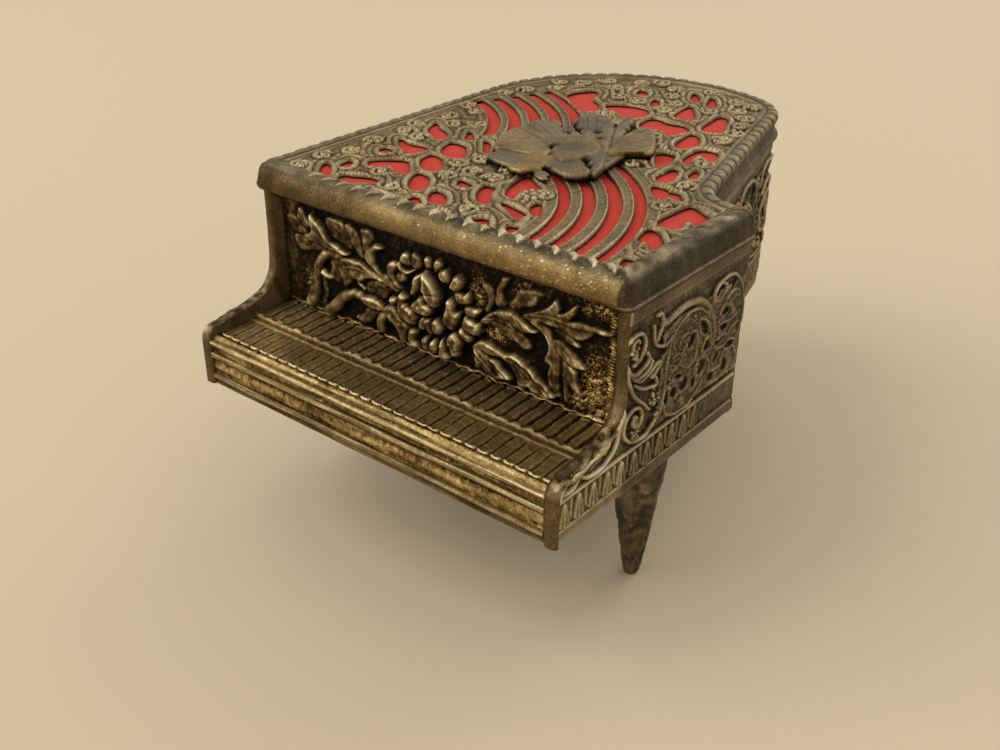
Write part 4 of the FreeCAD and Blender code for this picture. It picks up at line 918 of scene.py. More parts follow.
# outline, height and options of each leaf on the panel, as x and z: the right-hand spray,
# then the left-hand one
panelLeaves = [
    ([(17.6, 61), (19.2, 62.6), (20.4, 64.8), (22, 65.4), (24, 66), (26, 65.8), (25, 64.6), (24.2, 63),
     (21.8, 62), (20.2, 61), (18.8, 60.4)], 0.9, {"edge": 0.8}),
    ([(13.4, 58.4), (14.6, 60), (15, 62), (14, 63.8), (12.4, 64.1), (12.2, 63.4), (13.2, 62.2),
     (13.4, 60.6), (12.6, 58.8)], 1.1, {"edge": 0.8}),
    ([(15.1, 60.8), (15.4, 63), (16, 65), (17, 66.6), (18.2, 66.6), (17, 64.6), (16.6, 62.8), (17.6, 61.2),
     (16.8, 60.2)], 1.1, {"edge": 0.8}),
    ([(21.5, 60.2), (24, 61.6), (26.5, 63), (28, 64.4), (29, 65.6), (29.9, 64.6), (29.8, 63.2), (31.5, 64),
     (33.5, 65.9), (33.2, 64.2), (32.1, 62.5), (34, 62.7), (41.2, 63.1), (40.8, 62.4), (37.8, 62),
     (36.4, 60.6), (34.5, 59.6), (31.5, 60.2), (28, 60.4), (24, 60)], 1.55, {"midrib": [(22, 60.7),
     (28, 61.9), (34, 62), (40, 62.7)], "lean": (80, 0.12)}),
    ([(29.2, 60), (32.5, 59.7), (34.5, 57.9), (31.5, 58.1), (29.2, 59)], 1, {"edge": 0.8}),
    ([(31, 54.9), (32, 53.8), (33.9, 52.9), (34.1, 50.8), (35.6, 48.2), (33.8, 49), (32.5, 49.4),
     (32.2, 45.8), (31.2, 48.6), (31, 51.5), (30.9, 53.5)], 1.25, {"edge": 0.9, "midrib": [(31.2, 54.5),
     (32.4, 51.4), (34, 49.2)]}),
    ([(22, 60.4), (25, 60.3), (27.3, 59.5), (29, 58), (30.8, 57.9), (32.5, 57.1), (34.2, 55.8),
     (36.2, 54.2), (34, 54), (32.2, 54.4), (31, 55.2), (30.5, 55), (30.6, 52), (30.4, 49), (30.9, 46.6),
     (29.2, 47.2), (28.3, 48.5), (28, 50.5), (28.4, 52.4), (27.2, 53), (27.8, 54.8), (28, 56.6),
     (26.8, 58.2), (24.5, 59.4)], 1.6, {"midrib": [(24, 60), (28, 58.3), (29.4, 55.2), (29.6, 50),
     (29.9, 47.6)]}),
    ([(11.8, 56.2), (13.5, 57.9), (15.5, 59.4), (18, 60.4), (20.5, 60.3), (23, 59.3), (25.2, 58.3),
     (24, 57.8), (22.2, 57.2), (22.9, 56), (23.7, 54.4), (22.6, 53.9), (21, 54.6), (19.2, 55.2),
     (17.5, 55.3), (16.5, 56.5), (14.8, 56.8), (13, 56.1)], 2, {"midrib": [(12.5, 56.8), (17.4, 58.2),
     (22.6, 56.4)], "lean": (80, 0.15)}),
    ([(10, 50.2), (11.5, 51.8), (13.4, 52.2), (15.5, 51.8), (18, 51.1), (20, 51.8), (22, 51.6),
     (24.5, 50.3), (27, 48.5), (30, 46.6), (29.2, 46), (27.4, 45.4), (25, 45.7), (24, 46.5), (22.8, 45.9),
     (21.6, 46), (21, 47.6), (20, 49), (18.6, 50), (17, 50.3), (14.8, 50), (12, 50)], 2.2, {"midrib":
     [(18, 50.6), (22, 49.8), (25.6, 47.6), (28.6, 46.2)], "lean": (62, 0.2)}),
    ([(10.2, 50.4), (12.5, 49.9), (14.5, 49.3), (16, 49.1), (17.2, 48.2), (19.4, 46.3), (18, 45.8),
     (16.5, 45.3), (14.6, 45.4), (13, 46.2), (12, 47), (11.4, 46.2), (10.8, 46.6), (10.8, 48.4)], 2.1,
     {"veins": (-35, 1.15, 0.35), "lean": (60, 0.15)}),
    ([(-37, 60.8), (-34.6, 62), (-33.8, 64.2), (-34.2, 66.4), (-32.6, 65.8), (-31, 64.8), (-30, 63.3),
     (-28.6, 62.1), (-26, 61.1), (-23.4, 60.2), (-25, 59.8), (-28.5, 59.9), (-32, 59.8), (-35.5, 60.2)], 2,
     {"lean": (55, 0.3)}),
    ([(-38, 66.6), (-36.3, 65.2), (-35.1, 63.6), (-36, 62.6), (-37.6, 63.2), (-38.6, 64.8)], 1.2,
     {"edge": 0.9}),
    ([(-42.2, 64), (-39, 64), (-37.6, 62.8), (-36.4, 61.2), (-38.6, 60.7), (-41, 61.2)], 0.95,
     {"edge": 0.9}),
    ([(-40, 60.2), (-36, 60.1), (-33, 60), (-30, 59.5), (-32.4, 58.4), (-35, 57.8), (-38.6, 57),
     (-39.8, 58.6)], 0.95, {"edge": 0.9}),
    ([(-30, 66.2), (-25.5, 66.2), (-24, 63.6), (-23, 61.2), (-25, 61.6), (-28.6, 62.8), (-29.8, 64.2)], 0.8,
     {"edge": 0.6}),
    ([(-24.4, 66.2), (-21.6, 65.8), (-20, 63), (-19, 60.4), (-20.8, 60.6), (-22.6, 62.6)], 1.25,
     {"edge": 0.9}),
    ([(-20, 66.4), (-17, 66.4), (-16.8, 63.8), (-18.4, 61.6), (-19.4, 62.2), (-19.4, 64)], 1.15,
     {"edge": 0.8}),
    ([(-29.4, 57.7), (-26.8, 58.4), (-25.2, 57.2), (-25, 55), (-26.2, 53.2), (-28.2, 52.6), (-29.6, 54.2),
     (-28.9, 56)], 1.35, {"edge": 1.6}),
    ([(-25.4, 58.8), (-22, 59.4), (-19.6, 59.4), (-18, 58.6), (-15.6, 57.9), (-13.6, 57.1), (-16, 56.8),
     (-18.2, 56.5), (-20, 55.3), (-22.3, 55.2), (-24, 53.2), (-25.3, 52.4), (-25.7, 54.8), (-25.3, 57)], 2,
     {"midrib": [(-25, 56.8), (-21, 57.9), (-15.4, 57.3)], "lean": (80, 0.2)}),
    ([(-18.8, 55), (-16.5, 56.2), (-14, 56), (-13, 54.6), (-13.4, 53), (-16, 52.4), (-18.6, 53.2)], 0.9,
     {"edge": 0.9}),
    ([(-20, 51.6), (-18, 52.4), (-15.6, 52.4), (-13.7, 51.7), (-13.1, 50.9), (-14.6, 50.2), (-17, 50),
     (-18.8, 50.4)], 2.35, {"lean": (70, 0.15)}),
    ([(-22.4, 46.2), (-20, 47.7), (-19, 49.1), (-16.6, 49.7), (-15.2, 49.4), (-16.8, 47.8), (-18.6, 46.2),
     (-20.4, 45.7)], 1.75, {"edge": 1.1}),
    ([(-16, 45), (-14.5, 45.2), (-14.3, 47.4), (-13.2, 49.6), (-15, 49.8), (-15.9, 47.8)], 1.6,
     {"edge": 0.8}),
    ([(-17.8, 62.8), (-15.6, 64.5), (-13.8, 64.1), (-15.2, 63.4), (-16.2, 62), (-16.3, 60.4), (-15, 58.8),
     (-13.6, 57.9), (-15, 57.7), (-17, 59.2), (-18.4, 60.6)], 1.8, {"edge": 0.9, "lean": (120, 0.12)}),
    ([(-12.6, 60.8), (-11, 62), (-9.9, 61.3), (-10.8, 59.6), (-9.8, 58.2), (-8.4, 56.5), (-10, 56.5),
     (-12, 58.8)], 1.7, {"edge": 1}),
    ([(-14, 58.1), (-12.6, 58.8), (-10.6, 57.3), (-9.2, 55.9), (-11.4, 55.9), (-13.6, 56.9)], 1.7,
     {"edge": 1}),
]
# the flower's knobs, from the outer ring to the bud
flowerKnobs = [
    ([(-9.8, 62.2), (-8.8, 61.3), (-7, 61.1), (-4.8, 62.1), (-6.6, 60.5), (-8, 59.9), (-9.7, 60.6)], 1.6),
    ([(-9.9, 60), (-8, 60.3), (-7.5, 58.9), (-9, 58), (-9.9, 58.6)], 1.6),
    ([(-8.8, 63), (-8, 64.9), (-6.2, 64.8), (-5.6, 63), (-7.2, 62.2)], 1.8),
    ([(-5.6, 65.4), (-3.8, 65.1), (-3.4, 63), (-4.8, 62), (-5.9, 63.2)], 1.6),
    ([(-2.6, 65.2), (-1.2, 65.3), (-0.9, 63.3), (-2.3, 63.1)], 1.4),
    ([(0.1, 65.2), (1.4, 66), (2.4, 65), (1.4, 63.1), (0.1, 62.9)], 1.6),
    ([(1.4, 63.2), (2.6, 64.3), (3.7, 64.6), (4.5, 63.2), (4.3, 61.9), (3, 61.3), (1.8, 61.9)], 2.2),
    ([(4.5, 61.1), (4.7, 62.3), (5.5, 63.2), (6.9, 64.5), (7.8, 63.5), (7.6, 62), (6.2, 60.8)], 2.8),
    ([(5.5, 60.1), (6.6, 61), (8.2, 60.8), (8.9, 61.3), (9.6, 59.4), (8.6, 58.6), (6.5, 58.4)], 2.2),
    ([(8, 56.7), (8.1, 58.3), (10, 58.6), (11.7, 58.1), (10.7, 56.5), (9.4, 56.3)], 2),
    ([(7.4, 54.3), (8.1, 56.3), (9.4, 56), (10.8, 55.8), (12, 55.7), (11.9, 53.7), (10.8, 52.7), (8.5, 53)],
     2.3),
    ([(6.6, 52), (7.1, 53.5), (8.4, 53), (9.9, 52.4), (9.7, 50.8), (8.1, 50.8)], 2.2),
    ([(3.6, 49.6), (4.3, 51.1), (5.6, 52), (6.9, 51.2), (7.5, 50), (6.9, 48.4), (6.9, 47), (5.2, 46.4),
     (4.2, 47.8)], 2.6),
    ([(1.4, 46.4), (2.1, 49), (2.8, 49.7), (3.5, 47.4), (4.3, 45.6), (3, 44.9), (1.6, 45.2)], 2.6),
    ([(-0.9, 47.6), (0.4, 48.6), (1.1, 46.8), (0.7, 45.5), (-0.7, 45.5)], 2.5),
    ([(-3.1, 47.8), (-1.4, 48.7), (-0.8, 47), (-1.3, 45.4), (-2.9, 45.7)], 2.6),
    ([(-6.9, 47.6), (-5.8, 49.4), (-4.1, 49.1), (-4.5, 47.2), (-3.9, 45.4), (-5.6, 45.2), (-6.8, 46.1)],
     2.6),
    ([(-14.2, 50.7), (-12, 52.4), (-9.6, 52.4), (-8, 51), (-6.5, 49.7), (-6.5, 48), (-8, 45.8), (-9, 45),
     (-9.6, 47), (-10.8, 48.5), (-12.6, 49.3)], 2.5),
    ([(-12.2, 53.8), (-10.3, 54.4), (-9.9, 53), (-11.5, 52.2)], 2),
    ([(-9.4, 54.4), (-8.4, 56.4), (-6.7, 55.7), (-7.2, 54.3), (-5.4, 53.8), (-4.3, 53.1), (-3.9, 51.6),
     (-5, 50), (-6.8, 50.2), (-8.7, 50.8), (-9.4, 52.6)], 2.6),
    ([(-6.4, 56.3), (-5.7, 58.6), (-4.7, 60.9), (-3, 61.8), (-2.5, 62.4), (-3.3, 60), (-4.1, 57.8),
     (-5, 56.4)], 2.3),
    ([(-2.3, 52.9), (-3.7, 51.9), (-3.9, 50.2), (-2.6, 49.6), (-1.9, 51.2)], 2.4),
    ([(-0.2, 53.2), (-1.9, 52.7), (-2.1, 51), (-1.2, 49.8), (-0.1, 49.6), (0.1, 51.4)], 2.8),
    ([(0, 52.7), (1, 53.6), (2.1, 53.3), (2.7, 51.6), (2, 50.2), (0.6, 50.4), (0.1, 51.3)], 3),
    ([(2.5, 54.2), (3.3, 56), (3.9, 58.6), (5.3, 58.4), (5.7, 56.6), (6.9, 56.4), (7.1, 55.4), (6.3, 53.9),
     (5.1, 52.1), (3.9, 52.4), (2.7, 53.3)], 2.7),
    ([(-5.2, 54.8), (-4.1, 56.1), (-3.3, 57.1), (-2.2, 57.1), (-1.6, 56.1), (-0.2, 56), (0.2, 54.8),
     (-0.6, 53.5), (-2.4, 53.1), (-4.5, 53.4)], 3),
    ([(-1.8, 62.7), (-0.2, 62.1), (1.6, 60.5), (2.3, 58.6), (1.9, 57.1), (1.2, 55.9), (-0.5, 56.1),
     (-1.7, 57.6), (-2.5, 59), (-2.1, 60.4)], 3.3),
]
knobBeads = [
    (-7.3, 53.7, 1, 2.9), (-5.4, 52.7, 1, 2.9), (-8.3, 55.2, 0.8, 2.5), (-2.8, 56.5, 0.7, 3.1),
    (-3, 54.9, 1.2, 3.1), (1.3, 52.7, 0.9, 3.2), (5.4, 50.6, 1, 2.9), (4.6, 49, 0.9, 2.8),
    (6.3, 48.6, 0.8, 2.7), (2.6, 48, 0.8, 2.9), (-1.6, 47.7, 0.8, 2.9), (0.2, 47.6, 0.7, 2.7),
    (-5.2, 48.5, 0.9, 2.9), (-8.4, 49.2, 1.4, 2.9), (-10.2, 51.3, 1.1, 2.7), (6.4, 63.4, 1, 3),
    (3.3, 63.3, 0.9, 2.4), (7.6, 60, 0.8, 2.4), (6.6, 59.6, 0.7, 2.3), (11.3, 54.8, 0.7, 2.4),
    (4.8, 57.6, 0.8, 2.8), (6.2, 55.6, 0.8, 2.8)]
# where flecks of plating are left on the ground: x, z and the reach each way
panelSparkles = [
    (15.5, 54, 4.5, 2.4), (38.5, 50, 4, 7), (10, 61, 2.6, 4.5), (22.5, 64.6, 4.5, 2.4), (37, 66, 5, 1.5),
    (33, 46.5, 4, 2), (-16, 54.4, 4, 2.2), (-26.5, 64.4, 4, 1.8), (-36, 49, 3, 4), (23, 50.5, 2, 1.6)]
# stem and scroll of the left-hand spray: points, width, height, taper and tone
panelStems = [
    ([(-36.4, 45.4), (-34.6, 49.6), (-33.6, 53.6), (-32.2, 56.6), (-29.8, 58.5), (-25.6, 59.1)], 2.7, 1.6,
     (1.2, 0.8), 0.12),
    ([(-32.4, 45.6), (-31.6, 48.8), (-32.2, 52)], 1.6, 0.8, (1, 1), 0.12),
    ([(-31.4, 53.9), (-30, 53.3), (-28.4, 53.8)], 1.6, 1.9, (1, 1), 0.3),
    ([(-30.6, 45), (-27.8, 47.5), (-25.8, 49.8), (-23, 51.4), (-20, 51.7)], 3, 2, (1.1, 0.75), 0.12),
    ([(-21.4, 55.6), (-21, 54.3), (-19.3, 53.6)], 1, 1.2, (1, 1), None),
]


def buildPanel():
    relief, x, z, height = newRelief(-43.8, 43.8, 41.6, 69.35, 0.215)
    smooth = clamp((-38.5 - x) / 3.0)
    sparkle = np.max([bell((x - px) / rx) * bell((z - pz) / rz) for px, pz, rx, rz in panelSparkles], axis=0)
    sparkle = clamp(sparkle * (0.6 + 0.8 * grain(x.shape, 3, 33)))
    height[:] = (0.22 + 0.3 * sparkle) * grain(x.shape, 1, 31) * (1 - smooth) + 0.45 * smooth
    relief["tone"] = sparkle * (1 - smooth)
    for outline, high, options in panelLeaves:
        blade(relief, outline, high, tone=0.12, **options)
    for line, width, high, taper, tone in panelStems:
        strand(relief, line, width, high, taper=taper, tone=tone)
    # the flower: a deep bowl and its knobs, each with a small bright boss
    hollowOut(relief, -0.6, 55.0, 9.0, 8.6, 0, 0.35)
    for outline, high in flowerKnobs:
        blade(relief, outline, high, edge=0.95, lean=(60, 0.12), tone=0.1, cup=0.35, grow=0.12)
    for px, pz, size, high in knobBeads:
        bead(relief, px, pz, size, high, 0.15)
    crease = alongCurve(x, z, smoothCurve([(-2.2, 58.6), (-0.6, 58.2), (1.2, 59.0), (2.2, 58.6)]))[0]
    height -= 0.35 * bell(crease / 0.2)
    # solder along the bottom and the right-hand side
    at = np.arange(-43, 43.5, 1.1)
    seam = 44.25 + 0.22 * np.sin(at * 1.9) + 0.15 * np.sin(at * 0.7)
    strand(relief, np.stack([at, seam], -1), 0.5, 0.8, tone=0.6)
    rng = np.random.default_rng(8)
    for pz in np.arange(45.6, 66.5, 0.66):
        bead(relief, 41.4 + rng.uniform(-0.3, 0.3), pz, 0.34, 0.75, 1.0, 3.0, rng.uniform(-16, 6))
    height += 0.08 * grain(x.shape, 1, 35) + 0.5 * (grain(x.shape, 3, 38) - 0.5) * (height > 0.7)

    # brightness and gold: flecks on the low ground, blotches on the leaves and knobs
    low = clamp((0.8 - height) / 0.4) * (1 - smooth)
    sharp = np.random.default_rng(36).random(x.shape) + 0.5 * grain(x.shape, 1, 37)
    specks = (sharp > 1.12 - 0.42 * sparkle) * (0.2 + 0.8 * sparkle)
    mottle = 0.5 * (grain(x.shape, 1, 39) - 0.5) + 0.5 * (grain(x.shape, 3, 40) - 0.5)
    relief["shine"] = low * (0.95 * specks - 0.56) + (1 - low) * (mottle - 0.14)
    relief["tone"] = np.maximum(relief["tone"], low * clamp(0.5 + sparkle))
    front = case["panelFront"]
    panel = reliefPiece("front_panel_relief", relief, np.full(x.shape, 1.0),
                        lambda px, pz, up: np.stack([px, front - np.minimum(up, 3.5), pz], -1),
                        front - case["panelBack"], "case", agedBrass, False, (0.0, 0.0), 1.7)
    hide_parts("front_panel")


# Case: keys and the moulded slip under them

# y from and to for both rows of keys, and the section (y, z) that they are cut into
keys = {"count": 30, "span": 87.6, "upper": (5.2, -4.1), "lower": (-6.9, -14.6), "top": 44.1,
        "y": [-15.4, -15.2, -14.6, -7.0, -6.8, -6.6, -6.4, -6.2, -4.0, 5.3],
        "z": [42.4, 42.5, 42.5, 42.8, 42.95, 43.12, 43.08, 43.0, 43.35, 43.6]}


def buildKeyboard():
    relief, x, y, height = newRelief(-43.8, 43.8, -15.4, 5.3, 0.2)
    pitch = keys["span"] / keys["count"]
    wobble = 0.05 * np.sin(y * 0.9 + np.floor(x / pitch) * 1.7)
    cell = np.mod((x + wobble + keys["span"] / 2) / pitch, 1.0)
    inset = np.minimum(cell, 1 - cell) * pitch
    (upperBack, upperFront), (lowerBack, lowerFront) = keys["upper"], keys["lower"]
    upper = (y < upperBack) & (y > upperFront)
    lower = (y < lowerBack) & (y > lowerFront)
    uneven = grain(x.shape, 3, 44) - 0.5
    groove = clamp((np.where(upper, 0.5, 0.26) + 0.16 * uneven - inset) / 0.14)
    endFade = np.where(upper, clamp((y - upperFront) / 0.5),
                       clamp((y - lowerFront) / 0.5) * clamp((lowerBack - y) / 0.5))
    cut = groove * endFade * np.where(upper, 0.6, 0.5)
    z = np.interp(y, keys["y"], keys["z"]) - np.where(upper | lower, cut, 0)
    # one rounded scale to each key: along the rail, and at the lower keys' front ends
    scale = np.abs(np.sin(math.pi * cell))**0.6
    back = -4.85 + 0.75 * scale + 0.3 * uneven
    rail = 0.5 * clamp((back - y) / 0.2) * clamp((y + 5.5) / 0.3) * (0.6 + 0.4 * scale)
    tip = -14.2 - 0.75 * scale + 0.2 * uneven
    frontEdge = 0.4 * clamp(1 - np.abs(y - tip - 0.1) / 0.3)
    solder = clamp(1 - ((y - 4.8 - 0.25 * np.sin(x * 1.7)) / 0.25)**2) * 0.2
    z = np.where(y < tip, z - 0.25, z) + rail * (0.5 + grain(x.shape, 4, 46)) + frontEdge + solder \
        + 0.11 * grain(x.shape, 1, 41) + 0.14 * grain(x.shape, 6, 42) - 0.1
    height[:] = z - 43.0
    line = clamp(1 - np.abs(y + 6.62 + 0.15 * uneven) / 0.22)
    # towards the left end the keys are painted lighter and more golden, as a sheen; the rail and the line in
    # front of it are painted darker, as shade; the lower keys' rounded front rims get a painted highlight
    relief["tone"] = 0.35 * grain(x.shape, 20, 43) + 0.3 * clamp((-25 - x) / 10)
    relief["shine"] = 0.04 + 0.1 * clamp((-24 - x) / 12) - 0.12 * (rail > 0.2) - 0.12 * line \
        + 0.22 * (frontEdge > 0.1) * scale
    relief["tone"] = np.maximum(relief["tone"], np.where(y < lowerFront, 0.6, 0))
    height += np.where(y < lowerFront, 0.2 * (grain(x.shape, 1, 48) - 0.5), 0)
    board = reliefPiece("key_rows", relief, np.full(x.shape, 1.0),
                        lambda px, py, up: np.stack([px, py, np.minimum(43.0 + up, keys["top"])], -1),
                        -1.6, "case", agedBrass)
    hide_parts("keyboard")


# the slip's front (y, z), and how rough its plating is at each height
slip = {"halfWidth": 43.9, "steps": 400, "back": -15.4, "backTop": 41.5, "frontMost": -17.95,
        "front": [(-15.4, 42.9), (-16.2, 42.9), (-16.7, 42.5), (-16.9, 42.1), (-17.3, 41.95), (-17.75, 41.7),
                  (-17.8, 41.2), (-17.6, 40.95), (-17.1, 40.75), (-17.0, 40.4), (-17.1, 39.7), (-17.2, 39.3),
                  (-17.6, 39.2), (-17.8, 38.7), (-17.75, 38.2), (-17.4, 37.95), (-17.0, 37.5), (-17.0, 36.9),
                  (-17.15, 35.9), (-17.1, 34.9), (-17.2, 34.4), (-17.6, 34.3), (-17.8, 33.9), (-17.8, 33.4),
                  (-17.45, 33.1), (-17.3, 32.8), (-17.3, 31.9), (-17.1, 31.6)],
        "roughZ": [33, 34.4, 34.6, 37, 37.4, 39.3, 39.8, 40.6, 42.2, 43],
        "rough": [0.1, 0.1, 1, 1, 0.2, 0.2, 1, 0.4, 0.4, 1]}


def buildSlip():
    # Three long ridges over a plain foot: the profile (y, z) carried from side to side
    curve = smoothCurve(slip["front"], 4)
    x = np.linspace(-slip["halfWidth"], slip["halfWidth"], slip["steps"])
    along, across = np.meshgrid(x, np.arange(len(curve)), indexing="ij")
    y, z = curve[across, 0], curve[across, 1]
    rough = 0.5 * (grain(along.shape, 1, 51) + np.random.default_rng(53).random(along.shape)) - 0.5
    flat = np.interp(z, slip["roughZ"], slip["rough"])
    dents = grain(along.T.shape, (1, 14), 52, "wrap").T - 0.5
    y = np.maximum(y + 0.22 * rough * flat + 0.22 * dents, slip["frontMost"])
    back = [np.stack([x, np.full(len(x), slip["back"]), np.full(len(x), level)], -1)[:, None]
            for level in (case["foot"], slip["backTop"])]
    grid = np.concatenate([np.stack([along, y, z], -1), *back], 1)
    crest, tone = np.zeros(grid.shape[:2]), np.zeros(grid.shape[:2])
    line = np.repeat(curve[:, 0][None, :], 3, 0)
    crest[:, :-2] = 0.04 - 1.5 * (line - soften(line, 6))[:1] + 0.9 * rough * flat - 0.5 * dents
    tone[:, :-2] = clamp(flat * 0.9) * (z > 33)
    piece = addMesh("key_slip_moulding", grid, [gridQuads(*crest.shape, False, True)], "case", agedBrass,
                    {"crest": crest, "tone": tone}, close=True)
    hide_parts("key_slip")


# Case: side walls with scrollwork and a band of upright leaves

# the side's outline (y, z): straight behind, and the key arm's curve in front
armLine = smoothCurve([(1.6, 69.4), (1.6, 62), (1.6, 56), (1.5, 53.2), (0.9, 50.6), (-0.9, 48.4),
                       (-3.6, 46.9), (-7, 46.1), (-11, 45.5), (-14.6, 44.95), (-16.4, 44.4), (-17.5, 43.3),
                       (-18, 41.6), (-18, 37), (-18, 31.6)], 6)
# the band's leaves: pitch, z of their foot, height and half width
leafRow = {"pitch": 4.3, "foot": 35.1, "rise": 5.0, "half": 1.6}
leafLines = ((40.7, 0.375, 0.72), (34.45, 0.275, 0.62))   # z, half width and height


def leafBand(relief, start, end, fade=1.0):
    # Upright pointed leaves with a midrib between two ridges, over a plinth
    x, z, height = relief["x"], relief["y"], relief["height"]
    span = (x > start) & (x < end)
    pitch = leafRow["pitch"]
    cell = np.abs((np.mod((x - start) / pitch, 1.0) - 0.5) * pitch)
    t = clamp((z - leafRow["foot"]) / leafRow["rise"])
    gap = leafRow["half"] * clamp(1 - t)**0.55 * clamp((z - 34.8) / 0.5) - cell
    inner = clamp((gap - 0.3) / 0.15) * (1 - bell(cell / 0.3))
    shape = np.where(span, (0.68 - 0.3 * inner + 0.12 * grain(x.shape, 1, 64)) * clamp(gap / 0.22), 0)
    dart = clamp(1 - (pitch / 2 - cell) / 0.34) * (z > 36.0) * (z < 40.2) * 0.62
    raiseUp(relief, np.maximum(shape, np.where(span, dart, 0)) * fade)
    for level, half, high in leafLines:
        raiseUp(relief, np.where(span, high * dome((z - level) / half), 0))
    height -= 0.3 * clamp(1 - np.abs(z - 41.35) / 0.3) * span
    raiseUp(relief, np.where(z < 34.2, 0.42 - 0.35 * clamp((32.2 - z) / 0.6)**2, 0))
    raiseUp(relief, np.where(z > 66.6, 0.30, 0))


def roundel(relief, x, z, size, hand, seed, turn):
    # A wheel of scrolling stems: an outer hoop, an inner curl, and leaflets with dark
    # hollows between them
    rng = np.random.default_rng(seed)

    def at(radius, degrees):
        a = math.radians(turn + hand * degrees)
        return (x + size * radius * math.cos(a), z + size * radius * math.sin(a))

    strand(relief, [at(1.0, d) for d in range(-40, 245, 22)], 1.45, 0.95, 0.3, 0.9)
    inward = ((0.98, 240), (0.82, 275), (0.62, 300), (0.5, 345), (0.5, 30), (0.48, 80), (0.42, 130),
              (0.3, 170))
    strand(relief, [at(*spot) for spot in inward], 1.35, 0.9, 0.2, 0.9)
    curl(relief, *at(0.1, 20), size * 0.3, 1.2, 60, -hand, 1.1, 0.85)
    for d in range(-20, 250, 45):
        middle = d + rng.uniform(-9, 9)
        leaf(relief, [at(0.95, middle), at(0.75, middle + 14), at(0.6, middle + 34)], size * 0.26, 0.8, 2)
        if rng.random() < 0.7:
            tilt = turn + hand * middle + 60
            hollowOut(relief, *at(0.78, middle + 30), size * 0.15, size * 0.1, tilt, 0.3)


# scrollwork on one side of the keyboard end, as y and z: strands and their widths, oval
# hollows painted dark as shade (y, z, radii and tilt), and clusters of grains
cheekStrands = [
    ([(1.9, 61.5), (1.9, 63.2), (3, 64.1), (4.7, 64.4), (6.3, 63.8), (7.2, 62.3), (6.9, 60.4), (5.8, 59.2),
     (4.1, 58.6)], 0.95),
    ([(3.3, 61.7), (3.4, 62.9), (4.6, 63.4), (5.3, 62.6)], 0.8),
    ([(1.8, 59.7), (2.7, 57.8), (4.7, 56.4), (7, 56.8), (8.9, 58.1), (8.3, 59.4)], 0.95),
    ([(2.8, 57.3), (4.7, 55.6), (7.2, 55.3), (9.1, 56.2), (9.9, 57.2)], 0.9),
    ([(4.1, 55.7), (6.6, 54.4), (9.1, 55), (11.3, 55.9), (13, 55.7), (11.6, 54.4), (10.2, 53.7)], 0.85),
    ([(4.9, 54.2), (7.2, 52.6), (9.7, 51.8), (12.1, 51.6), (11.4, 53.3), (10.4, 54)], 0.9),
    ([(1.9, 58.7), (2.9, 55.7), (4.3, 52.8), (6.3, 50.6), (8.3, 48.9), (9.2, 47.9)], 1.1),
    ([(14.4, 47.1), (13.6, 45), (11.4, 42.9), (9.1, 41.9), (5.8, 42.2), (3.6, 43.4), (2.3, 45.2),
     (2.3, 47.3), (3.3, 48.7), (5.2, 49.3), (7, 48.7), (7.9, 47), (7.2, 45.3), (5.8, 45.3), (5, 46.3),
     (5.5, 47.4)], 1),
    ([(14.7, 46.2), (16.3, 43.2), (19.7, 41.9), (24.1, 41.8), (27.1, 43.4), (29.1, 44.9)], 0.9),
    ([(16.3, 59.7), (15.8, 57.6), (15.1, 54.8), (14.9, 51.8), (15.1, 49.3), (14.3, 46.8)], 0.95),
    ([(9.9, 64), (10.4, 61.1), (11.4, 59.6), (14.1, 58.7), (16.3, 59.4), (19.1, 61.3), (22.4, 62.2),
     (25.8, 61.6), (28.4, 59.8)], 0.8),
    ([(10.8, 65.7), (12, 65.7), (12.7, 63.9), (11.9, 62.1), (11.1, 60.7)], 0.9),
    ([(12.7, 63.4), (14.6, 63.2), (16.8, 63.7), (20.2, 64.1), (23.5, 63.7), (26.3, 62.9), (29.1, 60.7),
     (30.8, 58.4), (31.9, 56.2), (32.3, 53.4), (32.1, 51.8)], 1.7),
    ([(17, 59.4), (16.8, 57.3), (18.1, 55.7), (17.2, 54.8)], 0.8),
    ([(18.8, 56.2), (20.2, 58), (22.4, 57.9), (24.8, 57.3), (25.9, 54.6), (25.3, 51.9), (23.7, 50.7),
     (21.6, 51), (20.2, 52.1)], 0.8),
    ([(21.9, 55.7), (20.8, 54.8), (20.2, 53.3), (19.1, 52.2), (16.9, 52.1)], 0.8),
    ([(26.1, 59.4), (28.3, 58.3), (30.2, 56.2), (30.8, 54.4)], 0.7),
    ([(28.3, 50.4), (27.8, 52.2), (29.1, 54.1), (30.9, 53.9), (31.7, 51.9), (30.6, 50.1), (28.3, 50.4)],
     0.65),
    ([(30.7, 60.7), (30.8, 62.6), (32.4, 64.2), (35.8, 64.7), (38.7, 64.1), (40.9, 62.1), (42.4, 59.4),
     (43.1, 56.2), (42.9, 52.9), (41.9, 50.1)], 0.85),
    ([(31.3, 61.1), (33, 60.7), (34.7, 61.7), (35.4, 63.1), (34.3, 63.7)], 0.7),
    ([(35.8, 60.1), (37.6, 60.8), (39.7, 60.7), (41.3, 59.4)], 0.75),
    ([(37, 58.7), (39.6, 59.4), (41, 59)], 0.7),
    ([(33.6, 57.3), (34.7, 58.9), (36.9, 58.4), (38.8, 57.3), (38.4, 55.7)], 0.7),
    ([(32.7, 54.8), (35.2, 55.1), (38, 54.7), (40.2, 55.4)], 0.7),
    ([(33, 52.1), (35.2, 52.4), (37.7, 51.9), (39.3, 52.9), (41.3, 53.3)], 0.7),
    ([(32.2, 51.8), (33.6, 50.1), (36.3, 49.8), (39.1, 50.2), (41.3, 49.2)], 0.7),
    ([(30.2, 49.6), (31.3, 47.9), (31.2, 46.2), (33.6, 45.6), (36.1, 45.7)], 0.75),
    ([(36.1, 45.7), (36.7, 47.9), (38.6, 48.3), (40.8, 47.9), (41.3, 46.2)], 0.75),
]
